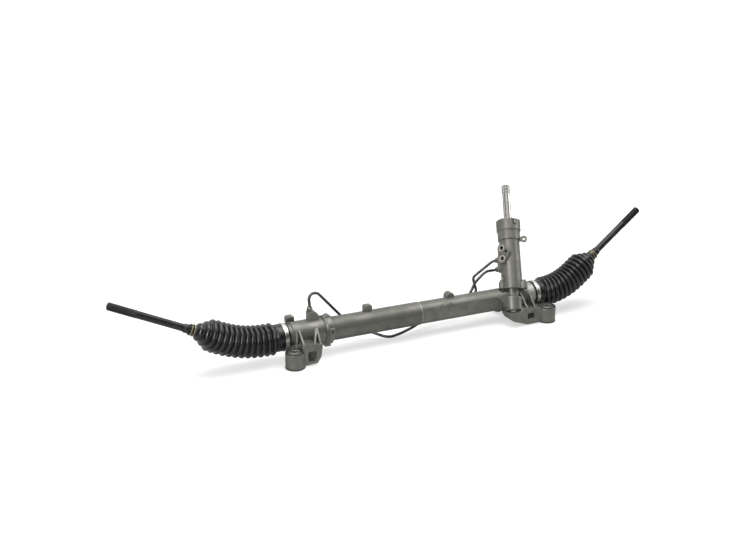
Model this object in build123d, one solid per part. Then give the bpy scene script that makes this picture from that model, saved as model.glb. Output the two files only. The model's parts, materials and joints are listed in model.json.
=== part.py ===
"""Hydraulic power steering rack and pinion, in millimetres.

The origin is the centre of the left mounting eye's bottom face. +X runs along the rack to the
right eye, +Y points from the eyes to the rack bar, and +Z is up. The rack bar stands a little
left of its centre, and both tie rods lean up and back in their ball sockets.
"""

import math
import os

from build123d import *

# ---------------------------------------------------------------- where the main axes lie
mount_spacing = 600.0
rack_height = 49.0
rack_setback = 49.0
rack_rest_offset = -15.0
mesh_inset = 67.0
shaft_side_lean = 12.4
shaft_back_lean = 32.5
pinion_offset = 16.0

# ---------------------------------------------------------------- mounting eyes and brackets
eye_radius = 20.0
eye_height = 33.0
bush_radius = 15.5
bush_recess = 2.5
sleeve_radius = 9.5
sleeve_bore_radius = 6.25
sleeve_stand = 1.5
bracket_front = -8.0
bracket_back = 30.0
bracket_wall = 6.0
bracket_corner = 4.0
rib_thickness = 3.6

# ---------------------------------------------------------------- rack casing
spigot_radius = 26.0
spigot_reach = 8.0
shoulder_inset = 9.0
casting_radius = 28.5
casting_end = 96.0
flange_radius = 30.5
flange_width = 13.0
stop_bore_radius = 20.5
stop_depth = 26.0
arm_radius = 24.2
arm_flat = 20.0
seam_x = 302.0
tube_radius = 25.0
tube_bore_radius = 21.0
tube_socket_depth = 28.0
rack_bore_radius = 15.0
mesh_bore_radius = 13.4
mesh_bore_length = 66.0
seal_width = 16.0
left_seal_x = 24.0
right_seal_x = 326.0
chamber_radius = 18.0

# ---------------------------------------------------------------- rack bar and its teeth
rack_radius = 13.0
normal_module = 2.0
pinion_teeth = 8
pressure_angle = 25.0
profile_shift = 0.4
rack_addendum = 2.0
tip_clearance = 0.35
tooth_backlash = 0.22
rack_travel_left = 55.0
rack_travel_right = 85.0
piston_x = 160.0
piston_width = 18.0
piston_ring_width = 5.0

# ---------------------------------------------------------------- ball joints and tie rods
ball_spacing = 760.0
ball_radius = 12.5
seat_thickness = 1.0
seat_mouth_angle = 68.0
socket_radius = 17.0
socket_back = 26.0
socket_front = 8.0
end_spigot_radius = 9.0
end_spigot_length = 9.0
socket_mouth_angle = 70.0
rod_length = 285.0
rod_radius = 6.0
rod_thread_radius = 7.0
rod_thread_length = 56.0
rod_collar_radius = 7.4
rod_seat_radius = 6.6
rod_seat_start = 90.0
rod_seat_end = 103.0
rod_collar_end = 114.0
left_rod_rise = 25.2
left_rod_back = 2.0
right_rod_rise = 30.8
right_rod_back = 10.4

# ---------------------------------------------------------------- bellows and their clamps
fold_count = 14
fold_peak_radius = 33.0
fold_valley_radius = 27.0
fold_wall = 1.2
small_fold_radius = 17.5
fold_growth = 7.5
valley_growth = 6.0
cuff_radius = 28.2
cuff_length = 20.0
bend_reach = 50.0
small_cuff_radius = 9.2
small_cuff_lead = 4.0
band_width = 9.0
band_thickness = 0.9
clip_wire_radius = 0.9
clip_turns = 2

# ---------------------------------------------------------------- valve tower, along the pinion's axis
barrel_radius = 21.0
barrel_bottom = -37.0
barrel_top = -6.0
neck_radius = 15.0
joint_height = 20.0
joint_flange = 8.0
joint_flange_radius = 24.0
tower_foot_radius = 23.2
tower_body_radius = 22.4
tower_collar_start = 126.0
tower_collar_radius = 25.0
tower_head_start = 147.0
tower_head_radius = 27.0
tower_top = 173.0
tower_bore_radius = 17.0
ear_pitch_radius = 27.0
ear_radius = 7.5
ear_angles = (-82.0, 45.0)
port_angle = -60.0
port_face = 29.5
port_bore_radius = 4.6
port_bore_depth = 10.0
port_drilling_radius = 2.4
port_seat_radius = 8.6
port_seat_depth = 0.6
port_spacing = 24.4
port_middle = 91.6
port_shift = -3.2
port_pad_radius = 10.5
clamp_pad_radius = 8.0
clamp_hole_across = 7.1
clamp_hole_rise = 2.4
clamp_hole_radius = 3.4
pipe_port_angle = -142.0
pipe_port_heights = (86.0, 65.0)
pipe_port_face = 28.0
lug_angle = 60.0
lug_reach = 32.8
lug_height = 128.0
head_pocket_angle = 10.0

# ---------------------------------------------------------------- pinion, valve and input shaft
pinion_cavity_radius = 11.8
pinion_face = 17.0
lower_journal_radius = 6.0
upper_journal_radius = 8.5
lower_bearing_radius = 16.0
lower_bearing_width = 11.0
cap_hexagon_radius = 10.0
cap_hexagon_height = 4.5
cap_room_radius = 14.0
upper_bearing_radius = 17.5
upper_bearing_width = 12.0
pinion_head_radius = 12.0
pinion_head_top = 46.0
valve_sleeve_top = 112.0
input_rotor_radius = 10.0
input_rotor_top = 124.0
input_shaft_radius = 8.75
input_head_radius = 9.6
input_head_start = 239.0
input_top = 257.0
spline_teeth = 36
torsion_bar_radius = 3.0
input_bearing_start = 138.0
input_bearing_width = 12.0
seal_start = 152.0
seal_stack_width = 10.0
mouth_depth = 9.0

# ---------------------------------------------------------------- rack yoke
yoke_radius = 13.5
yoke_start = 4.0
yoke_play = 0.5
spring_pocket = 20.0
yoke_boss_radius = 20.0
adjuster_radius = 14.5
adjuster_length = 13.0
locknut_radius = 17.0
locknut_width = 4.0
spring_wire_radius = 1.4

# ---------------------------------------------------------------- pipes
port_x = 54.0
port_y = 51.0
port_top = 96.0
pipe_boss_x = 318.0
pipe_boss_reach = 8.0
pipe_radius = 3.0
pipe_nut_radius = 6.5
pipe_nut_length = 9.0
pipe_end_straight = 16.0

# ---------------------------------------------------------------- clearances
running_gap = 0.05
body_gap = 0.3
slip_gap = 0.02

# ---------------------------------------------------------------- worked out from the sizes above
mesh_x = mount_spacing - mesh_inset
side = math.radians(shaft_side_lean)
back = math.radians(shaft_back_lean)
shaft_axis = Vector(math.sin(side), math.cos(side) * math.sin(back), math.cos(side) * math.cos(back))
mesh_normal = Vector(0, -math.cos(back), math.sin(back))
rack_centre = Vector(mesh_x, rack_setback, rack_height)
pinion_centre = rack_centre + mesh_normal * pinion_offset
pinion_plane = Plane(origin=pinion_centre, x_dir=mesh_normal, z_dir=shaft_axis)
yoke_plane = Plane(origin=rack_centre, x_dir=(1, 0, 0), z_dir=-mesh_normal)
rack_plane = Plane(origin=(0, rack_setback, rack_height), x_dir=(0, 1, 0), z_dir=(1, 0, 0))

left_nose = -spigot_reach
left_shoulder = shoulder_inset
right_shoulder = mount_spacing - shoulder_inset
right_nose = mount_spacing + spigot_reach
rack_middle = mount_spacing / 2 + rack_rest_offset
left_ball_x = rack_middle - ball_spacing / 2
right_ball_x = rack_middle + ball_spacing / 2

pitch_radius = pinion_teeth * normal_module / (2 * math.cos(side))
transverse_pressure = math.atan(math.tan(math.radians(pressure_angle)) / math.cos(side))
base_radius = pitch_radius * math.cos(transverse_pressure)
tip_radius = pitch_radius + normal_module * profile_shift + 0.8 * normal_module
root_radius = pitch_radius - normal_module * (1.25 - profile_shift)
rack_pitch_height = pinion_offset - pitch_radius - profile_shift * normal_module
rack_tip_height = rack_pitch_height + rack_addendum
rack_root_height = pinion_offset - tip_radius - tip_clearance
tooth_pitch = math.pi * normal_module

seat_radius = ball_radius + running_gap + seat_thickness
yoke_boss_end = (rack_height - yoke_boss_radius * math.cos(back)) / math.sin(back)
adjuster_start = yoke_boss_end - adjuster_length + 2.0
yoke_end = adjuster_start - yoke_play
cylinder_left = casting_end - tube_socket_depth
piston_start = piston_x - piston_width / 2
piston_end = piston_x + piston_width / 2
port_heights = (port_middle + port_spacing / 2, port_middle - port_spacing / 2)
upper_bearing_start = joint_height + 1.5
upper_bearing_top = upper_bearing_start + upper_bearing_width
lower_bearing_start = barrel_bottom + 5.0


def rod_direction(rise, heading, sign):
    """Unit vector along a tie rod that rises and leans back; sign is -1 on the left."""
    flat = math.cos(math.radians(rise))
    return Vector(
        sign * flat * math.cos(math.radians(heading)),
        flat * math.sin(math.radians(heading)),
        math.sin(math.radians(rise)),
    )


left_direction = rod_direction(left_rod_rise, left_rod_back, -1)
right_direction = rod_direction(right_rod_rise, right_rod_back, 1)
left_ball = Vector(left_ball_x, rack_setback, rack_height)
right_ball = Vector(right_ball_x, rack_setback, rack_height)


# ================================================================ helpers
def rod_on(plane, radius, start, end):
    """Cylinder about a plane's normal, between two heights along it."""
    base = (Align.CENTER, Align.CENTER, Align.MIN)
    return plane.offset(start) * Cylinder(radius, end - start, align=base)


def ring_on(plane, outer, inner, start, end):
    """Plain ring about a plane's normal."""
    return rod_on(plane, outer, start, end) - rod_on(plane, inner, start - 1, end + 1)


def turned(plane, outline):
    """Solid turned about a plane's normal from (radius, height) points."""
    section = Plane.XZ * make_face(Polyline(*outline, close=True))
    return plane * revolve(section, Axis.Z)


def side_prism(outline, front, rear):
    """Prism between two Y planes from a sketch of (x, z)."""
    return extrude(Plane.XZ.offset(-front) * outline, amount=-(rear - front))


def polygon(points, corner=0.0):
    """Sketch of a polygon, its corners rounded."""
    face = make_face(Polyline(*points, close=True))
    return fillet(face.vertices(), corner) if corner else face


def gusset(corners, thickness):
    """Flat web through three points, as thick on each side of them."""
    return extrude(make_face(Polyline(*corners, close=True)), amount=thickness / 2, both=True)


def round_lug(x, top, radius, front, rear):
    """Casting lug on top of the casing: a level half-round boss on a square foot."""
    centre = top - radius
    foot = centre - rack_height
    outline = Pos(x, centre) * Circle(radius)
    outline += Pos(x, centre - foot / 2) * Rectangle(2 * radius, foot)
    return side_prism(outline, front, rear)


def polar(plane, angle, radius, height):
    """Point at an angle, radius and height in a plane's own axes."""
    turn = math.radians(angle)
    return plane.from_local_coords(Vector(radius * math.cos(turn), radius * math.sin(turn), height))


def radial_plane(angle, radius, height):
    """Plane square to a radius of the tower, its local Y along the shaft."""
    outward = polar(pinion_plane, angle, 1, 0) - pinion_centre
    across = shaft_axis.cross(outward)
    return Plane(origin=polar(pinion_plane, angle, radius, height), x_dir=across, z_dir=outward)


# ================================================================ castings
def box_bracket(eye_x, outline, pocket, window, window_size):
    """Open-backed box bracket beside a mounting eye: a front wall with a window, walls round it."""
    shell = side_prism(Pos(eye_x, 0) * polygon(outline, bracket_corner), bracket_front, bracket_back)
    hollow = Pos(eye_x, 0) * polygon(pocket, bracket_corner / 2)
    shell -= side_prism(hollow, bracket_front + bracket_wall, bracket_back + 1)
    opening = Pos(eye_x + window[0], window[1]) * RectangleRounded(*window_size, 2.0)
    return shell - side_prism(opening, bracket_front - 1, bracket_front + bracket_wall + 1)


def mounting_eye(eye_x):
    """Upright barrel of a mounting eye, before its bore."""
    base = (Align.CENTER, Align.CENTER, Align.MIN)
    barrel = Cylinder(eye_radius, eye_height, align=base)
    return Pos(eye_x, 0, 0) * chamfer(barrel.edges().filter_by(GeomType.CIRCLE), 1.0)


def eye_bore(eye_x):
    """The bore that the bush is pressed into, with room above it for the bolt."""
    base = (Align.CENTER, Align.CENTER, Align.MIN)
    return Pos(eye_x, 0, -1) * Cylinder(bush_radius, eye_height + 31, align=base)


def cuff_room(start, end):
    """Space round a spigot for the bellows' cuff and its band."""
    return ring_on(rack_plane, cuff_radius + band_thickness + 3, spigot_radius, start, end)


def left_casting():
    """Left end of the casing: spigot for the bellows, socket for the tube, bracket and port."""
    flange_start = casting_end - flange_width
    body = turned(rack_plane, [
        (0, left_nose),
        (spigot_radius - 1, left_nose),
        (spigot_radius, left_nose + 1),
        (spigot_radius, left_shoulder),
        (casting_radius, left_shoulder),
        (casting_radius, flange_start - 4),
        (flange_radius, flange_start),
        (flange_radius, casting_end - 1),
        (flange_radius - 1, casting_end),
        (0, casting_end),
    ])
    body += mounting_eye(0)
    outline = [(-6, 2), (46, 4), (54, 17), (58, 43), (20, 48), (-6, 31)]
    pocket = [(0, 8), (42, 10), (48, 19), (51, 38), (20, 42), (0, 26)]
    body += box_bracket(0, outline, pocket, (34.5, 20.5), (18, 21))
    near, far = bracket_front + 4, rack_setback - casting_radius + 4
    top = rack_height + 15
    body += gusset([(19, far, top + 6), (19, near, 46), (19, far, 40)], rib_thickness)
    body += gusset([(16, far, top + 4), (4, near + 6, 31), (12, far, 31)], rib_thickness)
    body += gusset([(58, far, top + 4), (55, near, 42), (56, far, 36)], rib_thickness)
    body += gusset([(57, far, top + 3), (42, near, 44), (49, far, 38)], rib_thickness)
    body += round_lug(17.5, rack_height + 35, 7.5, rack_setback + 15, rack_setback + 28)
    body += round_lug(flange_start + 8, rack_height + 33, 8.5, rack_setback - 8, rack_setback + 8)
    port = [(49, 60), (49, 92), (53, 96), (64, 94), (69, 89), (75, 60)]
    body += side_prism(polygon(port, 2.0), rack_setback - 7, rack_setback + 11)
    for angle in (170, 270):
        ear = rack_plane.offset(flange_start) * Rot(0, 0, angle) * Pos(flange_radius, 0, flange_width / 2)
        body += ear * Box(9, 15, flange_width)
    body -= rod_on(rack_plane, tube_radius + slip_gap, cylinder_left, casting_end + 10)
    body -= rod_on(rack_plane, rack_bore_radius, left_nose - 1, casting_end)
    body -= rod_on(rack_plane, stop_bore_radius, left_nose - 1, left_nose + stop_depth)
    body -= rod_on(rack_plane, tube_bore_radius, left_seal_x, cylinder_left + 1)
    body -= eye_bore(0)
    body -= cuff_room(left_nose - 1, left_shoulder)
    body -= left_port_drilling()
    body -= screw_hole(170)
    return body - screw_hole(270)


def left_port_drilling():
    """Drilling from the top of the port block down into the cylinder."""
    top = rack_height + 51
    base = rack_height + tube_bore_radius - 8
    return Pos(port_x, port_y, (top + base) / 2) * Cylinder(pipe_radius + slip_gap, top - base)


def screw_hole(angle):
    """Tapped hole that a tube locking screw goes into, square to the casing."""
    seat = rack_plane.offset(casting_end - flange_width / 2) * Rot(0, 0, angle)
    hole = Cylinder(3.0, 20, align=(Align.CENTER, Align.CENTER, Align.MIN))
    return seat * Pos(tube_radius - 1, 0, 0) * Rot(0, 90, 0) * hole


def tube_screws():
    """Grub screws that lock the tube in the left casting."""
    grub = Cylinder(3.0 - slip_gap, 6, align=(Align.CENTER, Align.CENTER, Align.MIN))
    grub -= Pos(0, 0, 3) * extrude(RegularPolygon(1.6, 6), 4)
    seat = rack_plane.offset(casting_end - flange_width / 2)
    return [seat * Rot(0, 0, a) * Pos(tube_radius + slip_gap, 0, 0) * Rot(0, 90, 0) * grub for a in (170, 270)]


def main_tube():
    """Steel cylinder tube between the castings, with one bracket boss welded on."""
    tube = rod_on(rack_plane, tube_radius, cylinder_left + slip_gap, seam_x)
    tube += round_lug(185, rack_height + 37.5, 8.5, rack_setback - 2, rack_setback + 11)
    tube -= rod_on(rack_plane, tube_bore_radius, cylinder_left - 1, seam_x + 1)
    return tube


def right_casting():
    """Right end of the casing: arm, pinion barrel, yoke boss, bracket and bellows spigot."""
    swell = mesh_x + 16
    body = turned(rack_plane, [
        (0, seam_x - tube_socket_depth),
        (tube_bore_radius - slip_gap, seam_x - tube_socket_depth),
        (tube_bore_radius - slip_gap, seam_x),
        (tube_radius, seam_x),
        (tube_radius, seam_x + 1.5),
        (arm_radius, seam_x + 3),
        (arm_radius, swell),
        (casting_radius - 1.5, swell + 10),
        (casting_radius - 1.5, right_shoulder),
        (spigot_radius, right_shoulder),
        (spigot_radius, right_nose - 1),
        (spigot_radius - 1, right_nose),
        (0, right_nose),
    ])
    flat_length = mesh_x - 34 - seam_x - 6
    flat = Pos(seam_x + 6 + flat_length / 2, rack_setback - arm_flat - 10, rack_height)
    body -= flat * Box(flat_length, 20, 60)
    body += turned(pinion_plane, [
        (0, barrel_bottom),
        (barrel_radius - 1.5, barrel_bottom),
        (barrel_radius, barrel_bottom + 1.5),
        (barrel_radius, barrel_top - 1),
        (barrel_radius - 1, barrel_top),
        (neck_radius, barrel_top + 3),
        (neck_radius, joint_height - joint_flange),
        (joint_flange_radius - 1, joint_height - joint_flange),
        (joint_flange_radius, joint_height - joint_flange + 1),
        (joint_flange_radius, joint_height),
        (0, joint_height),
    ])
    body += rod_on(yoke_plane, yoke_boss_radius, 0, yoke_boss_end)
    left = Vector(-1, 0, 0)
    foot = pinion_centre + left * 14
    body += gusset([
        pinion_centre + left * 44,
        foot + shaft_axis * (barrel_bottom + 5),
        foot + shaft_axis * 8,
    ], 22)
    body += mounting_eye(mount_spacing)
    outline = [(-100, 30), (-90, 14), (-55, 2), (6, 2), (6, 32), (-26, 36), (-62, 40), (-70, 34)]
    pocket = [(-70, 14), (-54, 8), (0, 8), (0, 27), (-26, 30), (-60, 33)]
    body += box_bracket(mount_spacing, outline, pocket, (-45, 21), (18, 13))
    near, far = bracket_front + 4, rack_setback - casting_radius + 5
    for rib_x, toe in ((mount_spacing - 54, 38), (mount_spacing - 33, 35)):
        ridge = rack_height + 20
        body += gusset([(rib_x, far + 2, ridge), (rib_x + 2, near, toe), (rib_x, far, toe)], rib_thickness)
    body += round_lug(381.5, rack_height + 34.5, 9.0, rack_setback - 2, rack_setback + 14)
    ears = [joint_ear(angle, joint_height - joint_flange, joint_height) for angle in ear_angles]
    for ear in ears:
        body += ear
    for mark_x in (352, 372):
        body += Pos(mark_x, rack_setback - arm_flat + 3.2, rack_height + 13) * Rot(90, 0, 0) * Cylinder(4.6, 8)
    body += pipe_boss()
    body -= rod_on(pinion_plane, joint_flange_radius + 0.5, joint_height, joint_height + 40)
    for angle in ear_angles:
        body -= joint_ear(angle, joint_height, joint_height + 40, 0.5)
    body -= rod_on(rack_plane, chamber_radius, seam_x - tube_socket_depth - 1, right_seal_x + seal_width)
    body -= rod_on(rack_plane, rack_bore_radius, seam_x, mesh_x - mesh_bore_length / 2)
    body -= rod_on(rack_plane, mesh_bore_radius, seam_x, right_nose)
    body -= rod_on(rack_plane, rack_bore_radius, mesh_x + mesh_bore_length / 2, right_nose)
    body -= rod_on(rack_plane, stop_bore_radius, right_nose - stop_depth, right_nose + 1)
    body -= turned(pinion_plane, [
        (0, barrel_bottom - 1),
        (lower_bearing_radius, barrel_bottom - 1),
        (lower_bearing_radius, lower_bearing_start + lower_bearing_width),
        (pinion_cavity_radius, lower_bearing_start + lower_bearing_width),
        (pinion_cavity_radius, joint_height + 1),
        (0, joint_height + 1),
    ])
    body -= rod_on(yoke_plane, yoke_radius + running_gap, 0, yoke_boss_end + 1)
    body -= rod_on(yoke_plane, adjuster_radius, adjuster_start - 2, yoke_boss_end + 1)
    for angle in ear_angles:
        body -= joint_bolt_hole(angle)
    body -= eye_bore(mount_spacing)
    body -= cuff_room(right_shoulder, right_nose + 1)
    body -= rod_on(pinion_plane, cap_room_radius, barrel_bottom - 7, barrel_bottom)
    return body - pipe_boss_drilling()


def joint_ear(angle, start, end, growth=0.0):
    """Bolt ear on the joint between casting and valve tower."""
    plane = pinion_plane * Rot(0, 0, angle)
    radius, middle = ear_radius + growth, (start + end) / 2
    arm = Pos(ear_pitch_radius / 2, 0, middle) * Box(ear_pitch_radius, 2 * radius, end - start)
    tip = Pos(ear_pitch_radius, 0, middle) * Cylinder(radius, end - start)
    return plane * (arm + tip)


def joint_bolt_hole(angle):
    """Hole through one ear of the joint."""
    return pinion_plane * Rot(0, 0, angle) * Pos(ear_pitch_radius, 0, joint_height) * Cylinder(3.1, 40)


def joint_bolts():
    """Bolts that hold the valve tower down."""
    bolt = Cylinder(3.0, 16, align=(Align.CENTER, Align.CENTER, Align.MAX))
    bolt += extrude(RegularPolygon(5.5, 6), 4.5)
    height = joint_height + joint_flange - 1
    seats = [pinion_plane * Rot(0, 0, a) * Pos(ear_pitch_radius, 0, height) for a in ear_angles]
    return [seat * bolt for seat in seats]


def pipe_boss():
    """Port boss behind the arm, for the short pipe."""
    return Pos(pipe_boss_x, rack_setback + arm_radius, rack_height) * Rot(90, 0, 0) * Cylinder(8, 16)


def pipe_boss_drilling():
    """Drilling through the rear boss into the cylinder."""
    return Pos(pipe_boss_x, rack_setback + arm_radius, rack_height) * Rot(90, 0, 0) * Cylinder(pipe_radius + slip_gap, 30)


def valve_tower():
    """Valve housing: a bored tower with stepped collars, two port faces and a bracket lug."""
    body = turned(pinion_plane, [
        (0, joint_height),
        (tower_foot_radius, joint_height),
        (tower_foot_radius, joint_height + 4),
        (tower_body_radius, tower_collar_start - 1),
        (tower_collar_radius, tower_collar_start),
        (tower_collar_radius, tower_head_start - 1),
        (tower_head_radius, tower_head_start + 1),
        (tower_head_radius, tower_top - 1.5),
        (tower_head_radius - 1.5, tower_top),
        (0, tower_top),
    ])
    for angle in ear_angles:
        body += joint_ear(angle, joint_height, joint_height + joint_flange - 1)
    body += port_block()
    body += pipe_port_block()
    body += bracket_lug()
    body -= head_pocket()
    body -= turned(pinion_plane, [
        (0, joint_height - 1),
        (upper_bearing_radius, joint_height - 1),
        (upper_bearing_radius, upper_bearing_top),
        (tower_bore_radius, upper_bearing_top),
        (tower_bore_radius, tower_top - mouth_depth),
        (tower_bore_radius + 3, tower_top - mouth_depth),
        (tower_bore_radius + 3, tower_top + 1),
        (0, tower_top + 1),
    ])
    for height in port_heights:
        body -= port_cut(height)
    for height in pipe_port_heights:
        body -= pipe_port_cut(height)
    body -= clamp_hole()
    for angle in ear_angles:
        body -= joint_bolt_hole(angle)
        body -= pinion_plane * Rot(0, 0, angle) * bolt_head_room()
    return body


def bolt_head_room():
    """Spot face above a joint ear for the bolt's head."""
    base = (Align.CENTER, Align.CENTER, Align.MIN)
    return Pos(ear_pitch_radius, 0, joint_height + joint_flange - 1) * Cylinder(6.5, 16, align=base)


def port_block():
    """Boss with the flat face that the pressure and return lines clamp to."""
    outline = Pos(port_shift, port_heights[0]) * Circle(port_pad_radius)
    outline += Pos(port_shift, port_heights[1]) * Circle(port_pad_radius)
    outline += Pos(clamp_hole_across, port_middle + clamp_hole_rise) * Circle(clamp_pad_radius)
    outline = make_hull(outline.edges())
    plane = radial_plane(port_angle, port_face, 0)
    block = plane * extrude(outline, amount=-port_face)
    return block


def port_cut(height):
    """Threaded port with its shallow machined seat and a drilling on into the valve bore."""
    plane = radial_plane(port_angle, port_face, height) * Pos(port_shift, 0, 0)
    bore = Cylinder(port_bore_radius, 2 * port_bore_depth)
    bore += Cylinder(port_drilling_radius, 2 * (port_face - tower_bore_radius + 3))
    return plane * (bore + Cylinder(port_seat_radius, 2 * port_seat_depth))


def clamp_hole():
    """Tapped hole for the line clamp's bolt."""
    plane = radial_plane(port_angle, port_face, port_middle + clamp_hole_rise)
    return plane * Pos(clamp_hole_across, 0, 0) * Cylinder(clamp_hole_radius, 24)


def pipe_port_block():
    """Boss that the two transfer pipes screw into, on the tower's hidden side."""
    lower, upper = min(pipe_port_heights), max(pipe_port_heights)
    plane = radial_plane(pipe_port_angle, pipe_port_face, (lower + upper) / 2)
    outline = SlotCenterToCenter(upper - lower, 2 * (pipe_nut_radius + 2.5), rotation=90)
    return plane * extrude(outline, amount=-pipe_port_face)


def pipe_port_cut(height):
    """Port for one transfer pipe, from the boss's face into the valve bore."""
    plane = radial_plane(pipe_port_angle, pipe_port_face, height)
    return plane * Cylinder(pipe_radius + slip_gap, 2 * (pipe_port_face - tower_bore_radius + 3))


def bracket_lug():
    """Small lug with a cross hole, beside the tower's middle collar."""
    plane = pinion_plane * Rot(0, 0, lug_angle)
    stem = Pos(lug_reach / 2, 0, lug_height) * Box(lug_reach, 8, 9)
    eye = Pos(lug_reach, 0, lug_height) * Rot(90, 0, 0) * Cylinder(7, 8)
    hole = Pos(lug_reach, 0, lug_height) * Rot(90, 0, 0) * Cylinder(3.2, 20)
    return plane * (stem + eye - hole)


def head_pocket():
    """Scalloped pocket in the tower's head, with a small bridge left across it."""
    plane = pinion_plane * Rot(0, 0, head_pocket_angle)
    pocket = Pos(tower_head_radius + 3.5, 0, tower_top - 6) * Cylinder(9.5, 16)
    slot = Pos(tower_head_radius - 2, 0, tower_top - 14) * Box(10, 10, 3)
    bridge = Pos(tower_head_radius - 5, 0, tower_top - 5) * Box(4, 5, 14)
    return plane * (pocket + slot - bridge)


# ================================================================ mounting bushes
def bush_rubber(eye_x):
    """Bonded rubber of a mounting bush."""
    rubber = ring_on(Plane.XY, bush_radius - slip_gap, sleeve_radius + slip_gap, 1.0, eye_height - bush_recess)
    return Pos(eye_x, 0, 0) * rubber


def bush_sleeve(eye_x):
    """Steel inner sleeve of a mounting bush."""
    sleeve = ring_on(Plane.XY, sleeve_radius, sleeve_bore_radius, 0, eye_height + sleeve_stand)
    return Pos(eye_x, 0, 0) * sleeve


# ================================================================ rack bar, piston and seals
def rack_teeth_cut():
    """Comb of tooth spaces, square to the rack bar, with everything above the tooth tips."""
    first = mesh_x - rack_travel_right - 3 * tooth_pitch
    last = mesh_x + rack_travel_left + 2 * tooth_pitch
    slope = math.tan(math.radians(pressure_angle))
    half = math.pi * normal_module / 4 + tooth_backlash / 2
    tip_half = half + (rack_tip_height - rack_pitch_height) * slope
    root_half = half - (rack_pitch_height - rack_root_height) * slope
    points = [(first - tooth_pitch / 2, rack_radius + 4), (first - tooth_pitch / 2, rack_tip_height)]
    before = math.floor((mesh_x - first) / tooth_pitch)
    after = math.floor((last - mesh_x) / tooth_pitch)
    for index in range(-before, after + 1):
        centre = mesh_x + index * tooth_pitch
        points += [
            (centre - tip_half, rack_tip_height),
            (centre - root_half, rack_root_height),
            (centre + root_half, rack_root_height),
            (centre + tip_half, rack_tip_height),
        ]
    points += [(last + tooth_pitch / 2, rack_tip_height), (last + tooth_pitch / 2, rack_radius + 4)]
    across = Vector(1, 0, 0).cross(mesh_normal)
    comb = Plane(origin=(0, rack_setback, rack_height), x_dir=(1, 0, 0), z_dir=across)
    return comb * extrude(make_face(Polyline(*points, close=True)), amount=2 * rack_radius, both=True)


def rack_bar():
    """Rack bar with teeth facing the pinion, a piston groove and threaded ends."""
    left_end, right_end = left_ball_x + socket_back, right_ball_x - socket_back
    bar = rod_on(rack_plane, rack_radius, left_end, right_end)
    bar += rod_on(rack_plane, end_spigot_radius, left_end - end_spigot_length, right_end + end_spigot_length)
    bar -= ring_on(rack_plane, rack_radius + 1, rack_radius - 1.5, piston_start, piston_end)
    return bar - rack_teeth_cut()


def rack_piston():
    """Piston seated in the rack bar's groove, with a groove for its ring."""
    piston = ring_on(rack_plane, tube_bore_radius - body_gap, rack_radius - 1.5 + slip_gap, piston_start, piston_end)
    middle = (piston_start + piston_end) / 2
    groove = (middle - piston_ring_width / 2, middle + piston_ring_width / 2)
    return piston - ring_on(rack_plane, tube_bore_radius + 1, tube_bore_radius - 3, *groove)


def rack_piston_ring():
    """Ring that seals the piston against the tube."""
    middle = (piston_start + piston_end) / 2
    start, end = middle - piston_ring_width / 2, middle + piston_ring_width / 2
    return ring_on(rack_plane, tube_bore_radius - running_gap, tube_bore_radius - 3 + slip_gap, start, end)


def rack_seal(start, end, outer):
    """Rack bush and seal held in the casing, with a running fit on the bar."""
    return ring_on(rack_plane, outer - slip_gap, rack_radius + running_gap, start, end)


# ================================================================ ball joints
def ball_socket(centre, sign):
    """Socket screwed on the rack's end: a body with a spherical cup and a flared mouth."""
    plane = Plane(origin=centre, x_dir=(0, 1, 0), z_dir=(sign, 0, 0))
    cup = seat_radius + running_gap
    lip = math.radians(socket_mouth_angle)
    lip_radius, lip_height = cup * math.sin(lip), cup * math.cos(lip)
    flare = (socket_front - lip_height) * math.tan(math.radians(40))
    body = turned(plane, [
        (0, -socket_back),
        (socket_radius - 1, -socket_back),
        (socket_radius, -socket_back + 1),
        (socket_radius, socket_front - 5),
        (socket_radius - 1.2, socket_front),
        (0, socket_front),
    ])
    body -= plane * Sphere(cup)
    body -= turned(plane, [
        (0, 0), (lip_radius - 0.4, 0), (lip_radius - 0.4, lip_height),
        (min(lip_radius + flare, socket_radius - 1.6), socket_front + 0.1), (0, socket_front + 0.1),
    ])
    body -= rod_on(plane, end_spigot_radius + slip_gap, -socket_back - 1, end_spigot_length + 1 - socket_back)
    grips = Pos(0, 0, -socket_back + 5) * Box(2 * socket_radius + 2, 2 * socket_radius + 2, 8)
    grips -= Pos(0, 0, -socket_back + 5) * Box(2 * socket_radius - 3, 2 * socket_radius + 4, 9)
    return body - plane * grips


def ball_seat(centre, sign):
    """Thin liner between ball and socket, open towards the rod."""
    plane = Plane(origin=centre, x_dir=(0, 1, 0), z_dir=(sign, 0, 0))
    liner = plane * Sphere(seat_radius) - plane * Sphere(ball_radius + running_gap)
    mouth = math.radians(seat_mouth_angle)
    cut = seat_radius + 2
    cone = turned(plane, [(0, 0), (cut * math.sin(mouth), cut * math.cos(mouth)), (0, cut * 2)])
    return liner - cone


def tie_rod(centre, direction):
    """Inner tie rod: ball, shank, bellows seat and plain blank of the threaded end."""
    plane = Plane(origin=centre, z_dir=direction)
    neck = math.sqrt(ball_radius**2 - rod_radius**2) - 0.5
    rod = turned(plane, [
        (0, neck),
        (rod_radius, neck),
        (rod_radius, rod_seat_start - 4),
        (rod_collar_radius, rod_seat_start - 2),
        (rod_collar_radius, rod_seat_start),
        (rod_seat_radius, rod_seat_start),
        (rod_seat_radius, rod_seat_end),
        (rod_collar_radius, rod_seat_end),
        (rod_collar_radius, rod_collar_end - 1.5),
        (rod_radius, rod_collar_end),
        (rod_radius, rod_length - rod_thread_length - 1),
        (rod_thread_radius, rod_length - rod_thread_length),
        (rod_thread_radius, rod_length - 2),
        (rod_thread_radius - 2, rod_length),
        (0, rod_length),
    ])
    return plane * Sphere(ball_radius) + rod


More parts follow.
